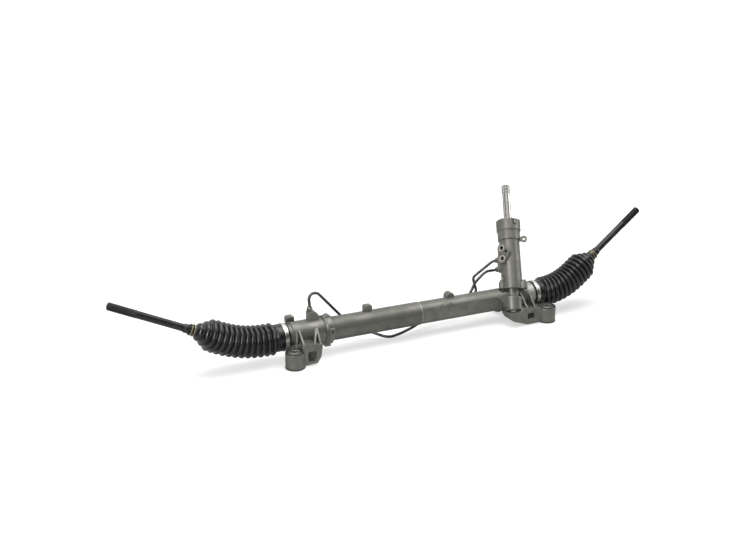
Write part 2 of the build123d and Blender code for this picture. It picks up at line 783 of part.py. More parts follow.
def rod_clip(centre, direction):
    """Spring wire clip, wound twice round the bellows' small end."""
    plane = Plane(origin=centre, z_dir=direction)
    middle = (rod_seat_start + rod_seat_end) / 2
    wire = Pos(small_cuff_radius + slip_gap + clip_wire_radius, 0) * RegularPolygon(clip_wire_radius, 8)
    spacing = 1.3 * clip_wire_radius
    coil = None
    for turn in range(clip_turns):
        height = middle + (2 * turn - clip_turns + 1) * spacing
        loop = plane.offset(height) * revolve(Plane.XZ * wire, Axis.Z)
        coil = loop if coil is None else coil + loop
    ear = plane.offset(middle) * Pos(small_cuff_radius + 2.4, 0, 0) * Box(3.2, 2.0, 3.6 * clip_wire_radius)
    return coil + ear


# ================================================================ bellows
def bellows_path(nose_x, sign, centre, direction):
    """Centreline of a bellows: along the rack, round the ball in one arc, then along the rod."""
    start = Vector(nose_x, rack_setback, rack_height)
    finish = centre + direction * (rod_seat_start - small_cuff_lead)
    turn = math.acos(Vector(sign, 0, 0).dot(direction))
    reach = min(bend_reach, 0.9 * (centre - start).length, 0.9 * (finish - centre).length)
    return FilletPolyline(start, centre, finish, radius=reach / math.tan(turn / 2))


def fold_sections():
    """Radius at each peak and valley along the centreline, with its place from 0 to 1."""
    sections = [(0.0, fold_valley_radius)]
    for fold in range(fold_count):
        from_rod = fold_count - 1 - fold
        peak = min(fold_peak_radius, small_fold_radius + fold_growth * from_rod)
        valley = min(fold_valley_radius, small_cuff_radius + valley_growth * from_rod)
        sections.append(((fold + 0.5) / fold_count, peak))
        sections.append(((fold + 1) / fold_count, valley))
    return sections


def bellows(nose_x, sign, centre, direction):
    """Folded rubber bellows from the casing's spigot to the tie rod, hollow throughout."""
    path = bellows_path(nose_x + sign * (cuff_length - spigot_reach - shoulder_inset), sign, centre, direction)
    outer, inner = [], []
    for place, radius in fold_sections():
        along = place * path.length
        heading = path.tangent_at(along, PositionMode.LENGTH)
        plane = Plane(origin=path.position_at(along, PositionMode.LENGTH), x_dir=(0, 1, 0), z_dir=heading)
        outer.append(plane * Circle(radius))
        if place == 0.0 or radius <= fold_valley_radius:
            inner.append(plane * Circle(min(radius, fold_valley_radius) - fold_wall))
    skin = loft(outer, ruled=True) - loft(inner, ruled=True)
    cuff = Plane(origin=(0, rack_setback, rack_height), x_dir=(0, 1, 0), z_dir=(sign, 0, 0))
    nose = sign * nose_x
    skin += turned(cuff, [
        (spigot_radius + slip_gap, nose - spigot_reach - shoulder_inset + 1),
        (cuff_radius, nose - spigot_reach - shoulder_inset + 1),
        (cuff_radius, sign * (path @ 0).X + 0.3),
        (spigot_radius - 1, sign * (path @ 0).X + 0.3),
        (spigot_radius - 1, nose + body_gap),
        (spigot_radius + slip_gap, nose + body_gap),
    ])
    end = Plane(origin=centre, z_dir=direction)
    return skin + turned(end, [
        (rod_collar_radius + body_gap, rod_seat_start - small_cuff_lead - 0.3),
        (small_cuff_radius + 0.4, rod_seat_start - small_cuff_lead - 0.3),
        (small_cuff_radius + 0.4, rod_seat_start),
        (small_cuff_radius, rod_seat_start + 1),
        (small_cuff_radius, rod_seat_end - 1),
        (small_cuff_radius + 0.4, rod_seat_end - slip_gap),
        (rod_seat_radius + slip_gap, rod_seat_end - slip_gap),
        (rod_seat_radius + slip_gap, rod_seat_start + slip_gap),
        (rod_collar_radius + body_gap, rod_seat_start + slip_gap),
    ])


def band_clamp(shoulder_x, sign):
    """Steel band round the bellows' cuff, with its crimped ear."""
    plane = Plane(origin=(0, rack_setback, rack_height), x_dir=(0, 1, 0), z_dir=(sign, 0, 0))
    start = sign * shoulder_x + 6
    band = ring_on(plane, cuff_radius + band_thickness, cuff_radius + slip_gap, start, start + band_width)
    ear = plane.offset(start + band_width / 2) * Rot(0, 0, 60) * Pos(cuff_radius + band_thickness + 1.2, 0, 0)
    return band + ear * Box(3.0, 7.0, band_width - 2)


# ================================================================ pinion, valve and input shaft
def involute(angle):
    """Involute function."""
    return math.tan(angle) - angle


def pinion_section():
    """Transverse section of the pinion, a tooth centred on the side that faces the rack."""
    half = math.pi / (2 * pinion_teeth) + 2 * profile_shift * math.tan(math.radians(pressure_angle)) / pinion_teeth
    steps = 4
    radii = [base_radius * 1.0005 + (tip_radius - base_radius * 1.0005) * i / steps for i in range(steps + 1)]
    offsets = [half + involute(transverse_pressure) - involute(math.acos(base_radius / r)) for r in radii]

    def at(radius, angle):
        return Vector(radius * math.cos(angle), radius * math.sin(angle), 0)

    edges = []
    for tooth in range(pinion_teeth):
        middle = math.pi + tooth * 2 * math.pi / pinion_teeth
        following = middle + 2 * math.pi / pinion_teeth
        rising = [at(r, middle - offset) for r, offset in zip(radii, offsets)]
        falling = [at(r, middle + offset) for r, offset in zip(radii, offsets)][::-1]
        foot = at(root_radius, middle + offsets[0])
        next_foot = at(root_radius, following - offsets[0])
        edges += [Spline(rising), Line(rising[-1], falling[0]), Spline(falling)]
        edges += [Line(falling[-1], foot), Line(foot, next_foot)]
        edges += [Line(next_foot, at(radii[0], following - offsets[0]))]
    return Face(Wire(edges))


def pinion():
    """Helical pinion with its journals and the head that drives the valve sleeve."""
    twist = math.degrees(2 * pinion_face * math.tan(side) / pitch_radius)
    start = Pos(0, 0, -pinion_face) * Rot(0, 0, -twist / 2) * pinion_section()
    gear = Solid.extrude_linear_with_rotation(start, (0, 0, -pinion_face), (0, 0, 2 * pinion_face), twist)
    shaft = turned(Plane.XY, [
        (0, barrel_bottom + 4),
        (lower_journal_radius, barrel_bottom + 4),
        (lower_journal_radius, -pinion_face),
        (0, -pinion_face),
    ])
    shaft += turned(Plane.XY, [
        (0, pinion_face),
        (upper_journal_radius, pinion_face),
        (upper_journal_radius, upper_bearing_top + body_gap),
        (pinion_head_radius, upper_bearing_top + body_gap),
        (pinion_head_radius, pinion_head_top),
        (torsion_bar_radius + running_gap, pinion_head_top),
        (torsion_bar_radius + running_gap, joint_height + 2),
        (0, joint_height + 2),
    ])
    return pinion_plane * (shaft + gear)


def valve_grooves():
    """Heights of the sealing rings on the valve sleeve."""
    step = (valve_sleeve_top - pinion_head_top) / 4
    return [pinion_head_top + step * (index + 0.5) for index in range(4)]


def valve_sleeve():
    """Rotary valve sleeve pinned to the pinion's head, grooved for its rings."""
    sleeve = ring_on(
        pinion_plane, tower_bore_radius - running_gap, input_rotor_radius + running_gap,
        pinion_head_top, valve_sleeve_top,
    )
    for height in valve_grooves():
        sleeve -= ring_on(pinion_plane, tower_bore_radius + 1, tower_bore_radius - 1.8, height - 1.2, height + 1.2)
    return sleeve


def valve_rings():
    """Sealing rings in the valve sleeve's grooves."""
    outer, inner = tower_bore_radius - running_gap, tower_bore_radius - 1.8 + slip_gap
    return [ring_on(pinion_plane, outer, inner, h - 1.2 + slip_gap, h + 1.2 - slip_gap) for h in valve_grooves()]


def input_shaft():
    """Input shaft: valve rotor below, polished stem above, serrated head on top."""
    serration = []
    for index in range(2 * spline_teeth):
        radius = input_head_radius - (0.7 if index % 2 else 0.0)
        angle = math.pi * index / spline_teeth
        serration.append((radius * math.cos(angle), radius * math.sin(angle)))
    shaft = rod_on(pinion_plane, input_rotor_radius, pinion_head_top + body_gap, input_rotor_top)
    shaft += rod_on(pinion_plane, input_shaft_radius, input_rotor_top, input_head_start - 2)
    shaft += rod_on(pinion_plane, input_shaft_radius - 0.9, input_head_start - 2, input_head_start)
    head = pinion_plane.offset(input_head_start) * extrude(
        make_face(Polyline(*serration, close=True)), amount=input_top - input_head_start
    )
    shaft += head & turned(pinion_plane, [
        (0, input_head_start), (input_head_radius, input_head_start), (input_head_radius, input_top - 1),
        (input_head_radius - 1.2, input_top), (0, input_top),
    ])
    for angle in (-22, 98, 218):
        flute_length = input_head_start - tower_top - 8
        flute = Pos(input_shaft_radius + 0.2, 0, tower_top + 6 + flute_length / 2) * Box(2.4, 3.2, flute_length)
        shaft -= pinion_plane * Rot(0, 0, angle) * flute
    shaft -= rod_on(pinion_plane, torsion_bar_radius + body_gap, pinion_head_top - 1, input_head_start)
    return shaft - rod_on(pinion_plane, torsion_bar_radius + slip_gap, pinion_head_top - 1, input_top - 6)


def torsion_bar():
    """Torsion bar pinned in the input shaft's head and steadied in the pinion."""
    start, end = joint_height + 3, input_top - 6
    waist = torsion_bar_radius - 0.6
    return turned(pinion_plane, [
        (0, start), (torsion_bar_radius, start), (torsion_bar_radius, pinion_head_top - 3),
        (waist, pinion_head_top + 3), (waist, input_head_start - 6),
        (torsion_bar_radius, input_head_start), (torsion_bar_radius, end), (0, end),
    ])


def ball_bearing(inner, outer, start, width):
    """Ball bearing as one turned ring, with its race gap shown as shallow grooves."""
    middle = (inner + outer) / 2
    bearing = ring_on(pinion_plane, outer - slip_gap, inner + running_gap, start, start + width)
    for face in (start, start + width):
        bearing -= ring_on(pinion_plane, middle + 1.6, middle - 1.6, face - 0.8, face + 0.8)
    return bearing


def bottom_cap():
    """Screwed cap that closes the pinion barrel."""
    cap = rod_on(pinion_plane, lower_bearing_radius - slip_gap, barrel_bottom, barrel_bottom + 3.5)
    foot = pinion_plane.offset(barrel_bottom - cap_hexagon_height)
    hexagon = foot * extrude(RegularPolygon(cap_hexagon_radius, 6), cap_hexagon_height)
    return cap + hexagon


def input_seal():
    """Shaft seal above the input bearing."""
    start = seal_start
    return turned(pinion_plane, [
        (input_shaft_radius + running_gap, start + 2), (input_shaft_radius + running_gap, start + 5),
        (tower_bore_radius - 4, start + 6), (tower_bore_radius - 4, start + seal_stack_width),
        (tower_bore_radius - slip_gap, start + seal_stack_width), (tower_bore_radius - slip_gap, start),
        (tower_bore_radius - 5, start),
    ])


def retaining_ring():
    """Spring ring above the seal."""
    start = tower_top - mouth_depth
    return ring_on(pinion_plane, tower_bore_radius + 3 - slip_gap, tower_bore_radius - 3, start, start + 1.5)


def dust_cap():
    """Cap that closes the tower's mouth round the input shaft."""
    start = tower_top - 7
    return turned(pinion_plane, [
        (input_shaft_radius + body_gap, start + 5.0), (input_shaft_radius + 3, start + 6.5),
        (tower_bore_radius + 3 - slip_gap, start + 4), (tower_bore_radius + 3 - slip_gap, start),
        (tower_bore_radius + 1.5, start), (tower_bore_radius + 1.5, start + 2.6),
        (input_shaft_radius + body_gap, start + 3.4),
    ])


# ================================================================ rack yoke
def rack_yoke():
    """Yoke that presses the rack into mesh, its face hollowed to the bar."""
    yoke = rod_on(yoke_plane, yoke_radius, yoke_start, yoke_end)
    yoke -= rod_on(rack_plane, rack_radius + running_gap, mesh_x - 2 * yoke_radius, mesh_x + 2 * yoke_radius)
    return yoke - rod_on(yoke_plane, yoke_radius - 5, yoke_end - spring_pocket, yoke_end + 1)


def yoke_spring():
    """Coil spring between the yoke and its adjuster."""
    length = spring_pocket + yoke_play - 2 * spring_wire_radius - 2 * slip_gap
    coil_radius = yoke_radius - 5 - spring_wire_radius - body_gap
    coil = Helix(pitch=length / 3.5, height=length, radius=coil_radius)
    wire = sweep(Plane(origin=coil @ 0, z_dir=coil % 0) * RegularPolygon(spring_wire_radius, 6), path=coil)
    return yoke_plane.offset(yoke_end - spring_pocket + spring_wire_radius + slip_gap) * wire


def yoke_adjuster():
    """Adjuster plug with a hexagon socket."""
    plug = rod_on(yoke_plane, adjuster_radius - slip_gap, adjuster_start, adjuster_start + adjuster_length)
    socket = yoke_plane.offset(adjuster_start + adjuster_length - 6) * extrude(RegularPolygon(8, 6), 7)
    return plug - socket


def yoke_locknut():
    """Notched lock nut on the adjuster plug."""
    nut = ring_on(yoke_plane, locknut_radius, adjuster_radius, yoke_boss_end, yoke_boss_end + locknut_width)
    for index in range(6):
        notch = Rot(0, 0, 60 * index) * Pos(locknut_radius, 0, yoke_boss_end + locknut_width) * Box(4, 4, 5)
        nut -= yoke_plane * notch
    return nut


# ================================================================ pipes
def bent_pipe(points):
    """Bent steel pipe: straight runs joined by arcs as large as each pair of runs allows."""
    runs = [(Vector(b) - Vector(a)) for a, b in zip(points, points[1:])]
    room = [0.45 * run.length for run in runs]
    room[0] = runs[0].length - pipe_end_straight
    room[-1] = runs[-1].length - pipe_end_straight
    radii = []
    for index in range(len(runs) - 1):
        turn = math.radians(runs[index].get_angle(runs[index + 1]))
        radii.append(min(room[index], room[index + 1]) / math.tan(turn / 2))
    path = FilletPolyline(*points, radius=radii)
    return sweep(Plane(origin=path @ 0, z_dir=path % 0) * Circle(pipe_radius), path=path)


def tower_pipe_point(height, radius):
    """Point on a tower pipe port's axis."""
    return polar(pinion_plane, pipe_port_angle, radius, height)


def long_pipe():
    """Transfer pipe from the tower's lower pipe port to the far end of the cylinder."""
    height = pipe_port_heights[1]
    return bent_pipe([
        (port_x, port_y, port_top - 8), (port_x, port_y, port_top + 15), (53, 52.5, 122), (61, 58, 129),
        (78, 66, 126), (139, 87, 58), (165, 86, 34), (208, 72, 12), (230, 42, 8), (262, 50, 9),
        (306, 70, 10.5), (345, 82, 22), (mesh_x - 103, 88, 34), (mesh_x - 78, 86, 60),
        (mesh_x - 67, 88, 81), (mesh_x - 36, 96, 100),
        tower_pipe_point(height, pipe_port_face + 14), tower_pipe_point(height, pipe_port_face - 6),
    ])


def short_pipe():
    """Transfer pipe from the tower's upper pipe port to the near end of the cylinder."""
    height = pipe_port_heights[0]
    boss_face = rack_setback + arm_radius + pipe_boss_reach
    return bent_pipe([
        (pipe_boss_x, boss_face - 6, rack_height), (pipe_boss_x, boss_face + 17, rack_height),
        (mesh_x - 93, 96, 42), (mesh_x - 56, 96, 54), (mesh_x - 61, 101, 74), (mesh_x - 63, 104, 88),
        tower_pipe_point(height, pipe_port_face + 16), tower_pipe_point(height, pipe_port_face - 6),
    ])


def pipe_nut(plane):
    """Flare nut on a pipe, its hexagon standing on the port's face."""
    nut = extrude(RegularPolygon(pipe_nut_radius, 6), pipe_nut_length) & turned(Plane.XY, [
        (0, 0), (pipe_nut_radius, 0), (pipe_nut_radius, pipe_nut_length - 4),
        (pipe_nut_radius - 2, pipe_nut_length), (0, pipe_nut_length),
    ])
    return plane * (nut - Pos(0, 0, pipe_nut_length / 2) * Cylinder(pipe_radius + slip_gap, pipe_nut_length + 2))


def pipe_nuts():
    """Flare nuts at the four ends of the transfer pipes."""
    boss_face = rack_setback + arm_radius + pipe_boss_reach
    seats = [
        Plane(origin=(port_x, port_y, port_top), z_dir=(0, 0, 1)),
        Plane(origin=(pipe_boss_x, boss_face, rack_height), z_dir=(0, 1, 0)),
    ]
    seats += [radial_plane(pipe_port_angle, pipe_port_face, height) for height in pipe_port_heights]
    return [pipe_nut(seat) for seat in seats]


# ================================================================ one STEP file per node
def group(pieces):
    """Several loose pieces as one node."""
    return Compound(children=pieces)


nodes = {
    "left_casting": left_casting(),
    "main_tube": main_tube(),
    "tube_screws": group(tube_screws()),
    "right_casting": right_casting(),
    "valve_tower": valve_tower(),
    "joint_bolts": group(joint_bolts()),
    "lower_bearing": ball_bearing(lower_journal_radius, lower_bearing_radius, lower_bearing_start, lower_bearing_width),
    "upper_bearing": ball_bearing(upper_journal_radius, upper_bearing_radius, upper_bearing_start, upper_bearing_width),
    "input_bearing": ball_bearing(input_shaft_radius, tower_bore_radius, input_bearing_start, input_bearing_width),
    "input_seal": input_seal(),
    "retaining_ring": retaining_ring(),
    "dust_cap": dust_cap(),
    "bottom_cap": bottom_cap(),
    "rack_yoke": rack_yoke(),
    "yoke_spring": yoke_spring(),
    "yoke_adjuster": yoke_adjuster(),
    "yoke_locknut": yoke_locknut(),
    "left_bush_rubber": bush_rubber(0),
    "left_bush_sleeve": bush_sleeve(0),
    "right_bush_rubber": bush_rubber(mount_spacing),
    "right_bush_sleeve": bush_sleeve(mount_spacing),
    "long_pipe": long_pipe(),
    "short_pipe": short_pipe(),
    "pipe_nuts": group(pipe_nuts()),
    "left_rack_seal": rack_seal(left_seal_x, left_seal_x + seal_width, tube_bore_radius),
    "right_rack_seal": rack_seal(right_seal_x, right_seal_x + seal_width, chamber_radius),
    "left_band_clamp": band_clamp(left_shoulder, -1),
    "right_band_clamp": band_clamp(right_shoulder, 1),
    "left_bellows": bellows(left_nose, -1, left_ball, left_direction),
    "right_bellows": bellows(right_nose, 1, right_ball, right_direction),
    "rack_bar": rack_bar(),
    "rack_piston": rack_piston(),
    "rack_piston_ring": rack_piston_ring(),
    "left_ball_socket": ball_socket(left_ball, -1),
    "right_ball_socket": ball_socket(right_ball, 1),
    "left_ball_seat": ball_seat(left_ball, -1),
    "right_ball_seat": ball_seat(right_ball, 1),
    "left_tie_rod": tie_rod(left_ball, left_direction),
    "right_tie_rod": tie_rod(right_ball, right_direction),
    "left_rod_clip": rod_clip(left_ball, left_direction),
    "right_rod_clip": rod_clip(right_ball, right_direction),
    "pinion": pinion(),
    "valve_sleeve": valve_sleeve(),
    "valve_rings": group(valve_rings()),
    "input_shaft": input_shaft(),
    "torsion_bar": torsion_bar(),
}

os.makedirs("parts", exist_ok=True)
for name, shape in nodes.items():
    export_step(shape, f"parts/{name}.step")
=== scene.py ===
"""Looks of a hydraulic steering rack: soft boots, threaded rods, clamps, trim, finishes and studio."""

import json
import logging
import math
from dataclasses import dataclass
from enum import Enum
from typing import Any, Callable, Optional, Sequence, Union

import bmesh
import bpy
import numpy as np
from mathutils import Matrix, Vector


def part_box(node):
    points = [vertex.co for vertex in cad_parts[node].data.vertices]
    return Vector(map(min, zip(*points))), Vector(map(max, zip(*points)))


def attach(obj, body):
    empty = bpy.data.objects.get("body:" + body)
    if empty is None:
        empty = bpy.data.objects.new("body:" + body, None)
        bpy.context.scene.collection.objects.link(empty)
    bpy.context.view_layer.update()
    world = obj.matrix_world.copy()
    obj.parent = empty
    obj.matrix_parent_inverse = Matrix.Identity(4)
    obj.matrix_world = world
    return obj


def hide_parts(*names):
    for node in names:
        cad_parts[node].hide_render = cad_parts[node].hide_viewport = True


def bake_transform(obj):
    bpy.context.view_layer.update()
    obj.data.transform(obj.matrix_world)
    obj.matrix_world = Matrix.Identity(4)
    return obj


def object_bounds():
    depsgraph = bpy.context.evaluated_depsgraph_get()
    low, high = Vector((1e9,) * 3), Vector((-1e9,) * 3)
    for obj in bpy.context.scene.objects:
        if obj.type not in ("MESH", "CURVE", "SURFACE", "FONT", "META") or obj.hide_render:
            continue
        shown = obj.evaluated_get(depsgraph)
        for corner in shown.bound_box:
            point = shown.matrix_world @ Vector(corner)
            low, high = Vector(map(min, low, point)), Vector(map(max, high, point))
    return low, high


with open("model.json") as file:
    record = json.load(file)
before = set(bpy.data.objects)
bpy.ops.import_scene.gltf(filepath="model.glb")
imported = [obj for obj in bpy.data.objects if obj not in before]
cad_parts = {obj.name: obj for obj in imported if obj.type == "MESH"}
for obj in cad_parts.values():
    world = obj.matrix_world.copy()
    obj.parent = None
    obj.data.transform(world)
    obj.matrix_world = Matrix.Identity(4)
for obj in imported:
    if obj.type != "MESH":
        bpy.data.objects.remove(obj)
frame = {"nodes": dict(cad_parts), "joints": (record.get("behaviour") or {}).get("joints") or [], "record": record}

log = logging.getLogger("steering_rack")
Piece = bpy.types.Object
Material = bpy.types.Material
Colour = tuple[float, float, float]
Spot = tuple[float, float, float]
Outline = Sequence[tuple[float, float]]

CAD_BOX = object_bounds()
MOUNTS = {mount["name"]: mount for mount in frame["record"]["mounts"]}
JOINTS = {joint["name"]: joint for joint in frame["joints"]}
RACK_Y, RACK_Z = JOINTS["left_rod_swing"]["pos_m"][1:]
MM = 0.001
WHITE = (1.0, 1.0, 1.0)


# ---- node trees
def operator(operation: str, swapped: bool = False) -> Callable[["Term", "Operand"], "Term"]:
    """Makes one operator of Term.

    Args:
        operation: The Math node's operation.
        swapped: Whether the term stands on the right.

    Returns:
        The method.
    """
    def method(self: "Term", other: "Operand") -> "Term":
        """Adds the operator's Math node."""
        return self.kit.math(operation, *((other, self) if swapped else (self, other)))

    return method


class Term:
    """A node socket that takes part in arithmetic; each operator adds its Math node."""

    def __init__(self, kit: "NodeKit", socket: bpy.types.NodeSocket) -> None:
        self.kit = kit
        self.socket = socket

    __add__, __radd__ = operator("ADD"), operator("ADD", swapped=True)
    __sub__, __rsub__ = operator("SUBTRACT"), operator("SUBTRACT", swapped=True)
    __mul__, __rmul__ = operator("MULTIPLY"), operator("MULTIPLY", swapped=True)
    __truediv__, __rtruediv__ = operator("DIVIDE"), operator("DIVIDE", swapped=True)
    __pow__, __rpow__ = operator("POWER"), operator("POWER", swapped=True)
    __gt__, __lt__ = operator("GREATER_THAN"), operator("LESS_THAN")
    least, most = operator("MINIMUM"), operator("MAXIMUM")

    def clamped(self) -> "Term":
        """Kept between 0 and 1."""
        return self.most(0.0).least(1.0)

    def ramp(self, low: float, high: float) -> "Term":
        """Rises smoothly from 0 at low to 1 at high."""
        share = ((self - low) / (high - low)).clamped()
        return share * share * (3.0 - 2.0 * share)


Operand = Union[Term, float]
Linkable = Union[Term, float, int, bool, str, Sequence[float], bpy.types.ID, None]
Settings = Optional[dict[str, Any]]
Sockets = Optional[dict[Union[str, int], Linkable]]


class NodeKit:
    """Adds nodes to one tree: any node through one method, sums through Term."""

    def __init__(self, tree: bpy.types.NodeTree) -> None:
        """Takes the tree that nodes are added to."""
        self.tree = tree

    def node(self, kind: str, settings: Settings = None, sockets: Sockets = None) -> bpy.types.Node:
        """Adds one node.

        Args:
            kind: The node's type name.
            settings: Its properties, set first.
            sockets: Values or terms for its inputs, by name or index; None leaves an input alone.

        Returns:
            The node.
        """
        made = self.tree.nodes.new(kind)
        for key, value in (settings or {}).items():
            setattr(made, key, value)
        for key, value in (sockets or {}).items():
            socket = made.inputs[key]
            if isinstance(value, Term):
                self.tree.links.new(value.socket, socket)
            elif value is not None:
                flat_colour = socket.type == "RGBA" and len(value) == 3
                socket.default_value = (*value, 1.0) if flat_colour else value
        return made

    def term(self, kind: str, settings: Settings = None, sockets: Sockets = None,
             key: Union[str, int] = 0) -> Term:
        """A new node's first output, or the one of that key."""
        return Term(self, self.node(kind, settings, sockets).outputs[key])

    def math(self, operation: str, *values: Operand) -> Term:
        """A Math node on up to three values."""
        return self.term("ShaderNodeMath", {"operation": operation}, dict(enumerate(values)))

    def vector(self, operation: str, first: Linkable, second: Linkable, key: str) -> Term:
        """A Vector Math node's Vector or Value output."""
        return self.term("ShaderNodeVectorMath", {"operation": operation}, {0: first, 1: second}, key)

    def mix_colour(self, share: Linkable, first: Linkable, second: Linkable) -> Term:
        """Blends two colours by a share."""
        return self.term("ShaderNodeMix", {"data_type": "RGBA"}, {0: share, 6: first, 7: second}, 2)

    def mix_vector(self, share: Linkable, first: Linkable, second: Linkable) -> Term:
        """Blends two vectors by a share."""
        return self.term("ShaderNodeMix", {"data_type": "VECTOR"}, {0: share, 4: first, 5: second}, 1)


class ShaderKit(NodeKit):
    """A material's tree around one Principled shader."""

    def __init__(self, name: str) -> None:
        """Starts an empty material.

        Args:
            name: Its name.
        """
        self.material = bpy.data.materials.new(name)
        self.material.use_nodes = True
        super().__init__(self.material.node_tree)
        self.tree.nodes.clear()
        self.place = self.term("ShaderNodeTexCoord", key="Object")

    def noise(self, scale: float, detail: float = 3.0, stretch: Optional[Colour] = None,
              warp: float = 0.0) -> Term:
        """Noise on object coordinates.

        Args:
            scale: Features per metre.
            detail: Octaves.
            stretch: Scale of each axis, or None.
            warp: Distortion.

        Returns:
            The noise, about 0 to 1.
        """
        place = self.place
        if stretch is not None:
            place = self.term("ShaderNodeMapping", None, {"Vector": place, "Scale": stretch})
        return self.term("ShaderNodeTexNoise", None,
                         {"Vector": place, "Scale": scale, "Detail": detail, "Distortion": warp})

    def bump(self, height: Term, depth: float, strength: float, under: Optional[Term] = None) -> Term:
        """A normal from a height.

        Args:
            height: Height, about 0 to 1.
            depth: Metres for a height of 1.
            strength: Share of the effect.
            under: Normal beneath it, or None.

        Returns:
            The normal.
        """
        return self.term("ShaderNodeBump", None,
                         {"Height": height, "Distance": depth, "Strength": strength, "Normal": under})

    def rounded(self, radius: float) -> tuple[Term, Term]:
        """Softened edges, and a mask that is 1 on them.

        Args:
            radius: Radius of the softening.

        Returns:
            The normal and the mask.
        """
        normal = self.term("ShaderNodeBevel", {"samples": 4}, {"Radius": radius})
        flat = self.term("ShaderNodeNewGeometry", key="Normal")
        facing = self.vector("DOT_PRODUCT", normal, flat, "Value")
        return normal, (1.0 - facing).ramp(0.01, 0.22)

    def close(self, surface: Term) -> Material:
        """Ends the tree with a shader."""
        self.node("ShaderNodeOutputMaterial", None, {"Surface": surface})
        return self.material

    def surface(self, **sockets: Linkable) -> Material:
        """Ends the tree with a Principled shader; an underscore in an input's name is a space."""
        named = {key.replace("_", " "): value for key, value in sockets.items()}
        return self.close(self.term("ShaderNodeBsdfPrincipled", None, named))


class ShapeKit(NodeKit):
    """A Geometry Nodes tree with named inputs."""

    def __init__(self, name: str) -> None:
        """Starts an empty tree.

        Args:
            name: Its name.
        """
        super().__init__(bpy.data.node_groups.new(name, "GeometryNodeTree"))
        for way in ("INPUT", "OUTPUT"):
            self.tree.interface.new_socket("Geometry", in_out=way, socket_type="NodeSocketGeometry")
        self.entry = self.node("NodeGroupInput")
        self.keys: dict[str, str] = {}

    def sizes(self, *names: str, kind: str = "Float") -> list[Term]:
        """Adds named inputs.

        Args:
            names: The inputs' names.
            kind: Float, Int or Vector.

        Returns:
            The inputs as terms.
        """
        for name in names:
            socket = self.tree.interface.new_socket(name, in_out="INPUT", socket_type="NodeSocket" + kind)
            self.keys[name] = socket.identifier
        return [Term(self, self.entry.outputs[name]) for name in names]

    def close(self, shape: Term, material: Material) -> None:
        """Ends the tree with smooth faces, real geometry and the material.

        Args:
            shape: The shape.
            material: Its material.
        """
        smooth = self.term("GeometryNodeSetShadeSmooth", None, {"Geometry": shape, "Shade Smooth": True})
        solid = self.term("GeometryNodeRealizeInstances", None, {"Geometry": smooth})
        finished = self.term("GeometryNodeSetMaterial", None, {"Geometry": solid, "Material": material})
        self.node("NodeGroupOutput", None, {0: finished})

    def grow(self, name: str, **sizes: Union[float, int, Sequence[float]]) -> Piece:
        """Runs the tree once and keeps the result as a plain mesh.

        Args:
            name: Name of the new piece.
            sizes: The tree's inputs; an underscore in a name stands for a space.

        Returns:
            The piece, at the origin.
        """
        carrier = mesh_piece(name + "_seed", [], [])
        modifier = carrier.modifiers.new("shape", "NODES")
        modifier.node_group = self.tree
        for key, value in sizes.items():
            modifier[self.keys[key.replace("_", " ")]] = value
        mesh = flattened(carrier)
        carrier.modifiers.remove(modifier)
        bpy.data.objects.remove(carrier)
        return new_object(name, mesh)


# ---- mesh helpers
def new_object(name: str, data: bpy.types.ID) -> Piece:
    """Puts a new object of that data in the scene, at the origin.

    Args:
        name: Its name.
        data: Its data.

    Returns:
        The object.
    """
    made = bpy.data.objects.new(name, data)
    bpy.context.scene.collection.objects.link(made)
    return made


def mesh_piece(name: str, points: Sequence[Sequence[float]], faces: Sequence[tuple[int, ...]]) -> Piece:
    """Puts a new mesh of points and faces in the scene, at the origin.

    Args:
        name: Its name.
        points: Its vertices.
        faces: The vertices of each face, by number.

    Returns:
        The piece.
    """
    mesh = bpy.data.meshes.new(name)
    mesh.from_pydata(points, [], faces)
    return new_object(name, mesh)


def flattened(obj: Piece) -> bpy.types.Mesh:
    """The object as its modifiers show it, as a plain mesh of its own.

    Args:
        obj: The object.

    Returns:
        The mesh.
    """
    bpy.context.view_layer.update()
    graph = bpy.context.evaluated_depsgraph_get()
    shown = obj.evaluated_get(graph)
    return bpy.data.meshes.new_from_object(shown, preserve_all_data_layers=True, depsgraph=graph)


def smoothed(obj: Piece, crease: float) -> Piece:
    """Shades a piece smooth, but for edges sharper than an angle in degrees.

    Args:
        obj: The piece.
        crease: The angle.

    Returns:
        The piece.
    """
    obj.data.polygons.foreach_set("use_smooth", [True] * len(obj.data.polygons))
    obj.data.set_sharp_from_angle(angle=math.radians(crease))
    return obj


def faced_out(obj: Piece) -> Piece:
    """Turns a closed mesh's faces outwards.

    Args:
        obj: The piece.

    Returns:
        The piece.
    """
    work = bmesh.new()
    work.from_mesh(obj.data)
    bmesh.ops.recalc_face_normals(work, faces=work.faces)
    work.to_mesh(obj.data)
    work.free()
    return obj


def dressed(obj: Piece, material: Material) -> Piece:
    """Gives a piece its material.

    Args:
        obj: The piece.
        material: Its material.

    Returns:
        The piece.
    """
    obj.data.materials.clear()
    obj.data.materials.append(material)
    return obj


def placed(outline: Outline, along: float = 0.0, radius: float = 0.0) -> list[tuple[float, float]]:
    """An outline given in millimetres as metres, moved along its axis and away from it."""
    return [(along + step * MM, radius + reach * MM) for step, reach in outline]


def axes_about(direction: Vector) -> tuple[Vector, Vector]:
    """Two unit vectors square to a direction and to each other.

    Args:
        direction: The direction.

    Returns:
        The two vectors.
    """
    upright = Vector((0.0, 0.0, 1.0)) if abs(direction.z) < 0.9 else Vector((0.0, 1.0, 0.0))
    first = direction.cross(upright).normalized()
    return first, first.cross(direction).normalized()


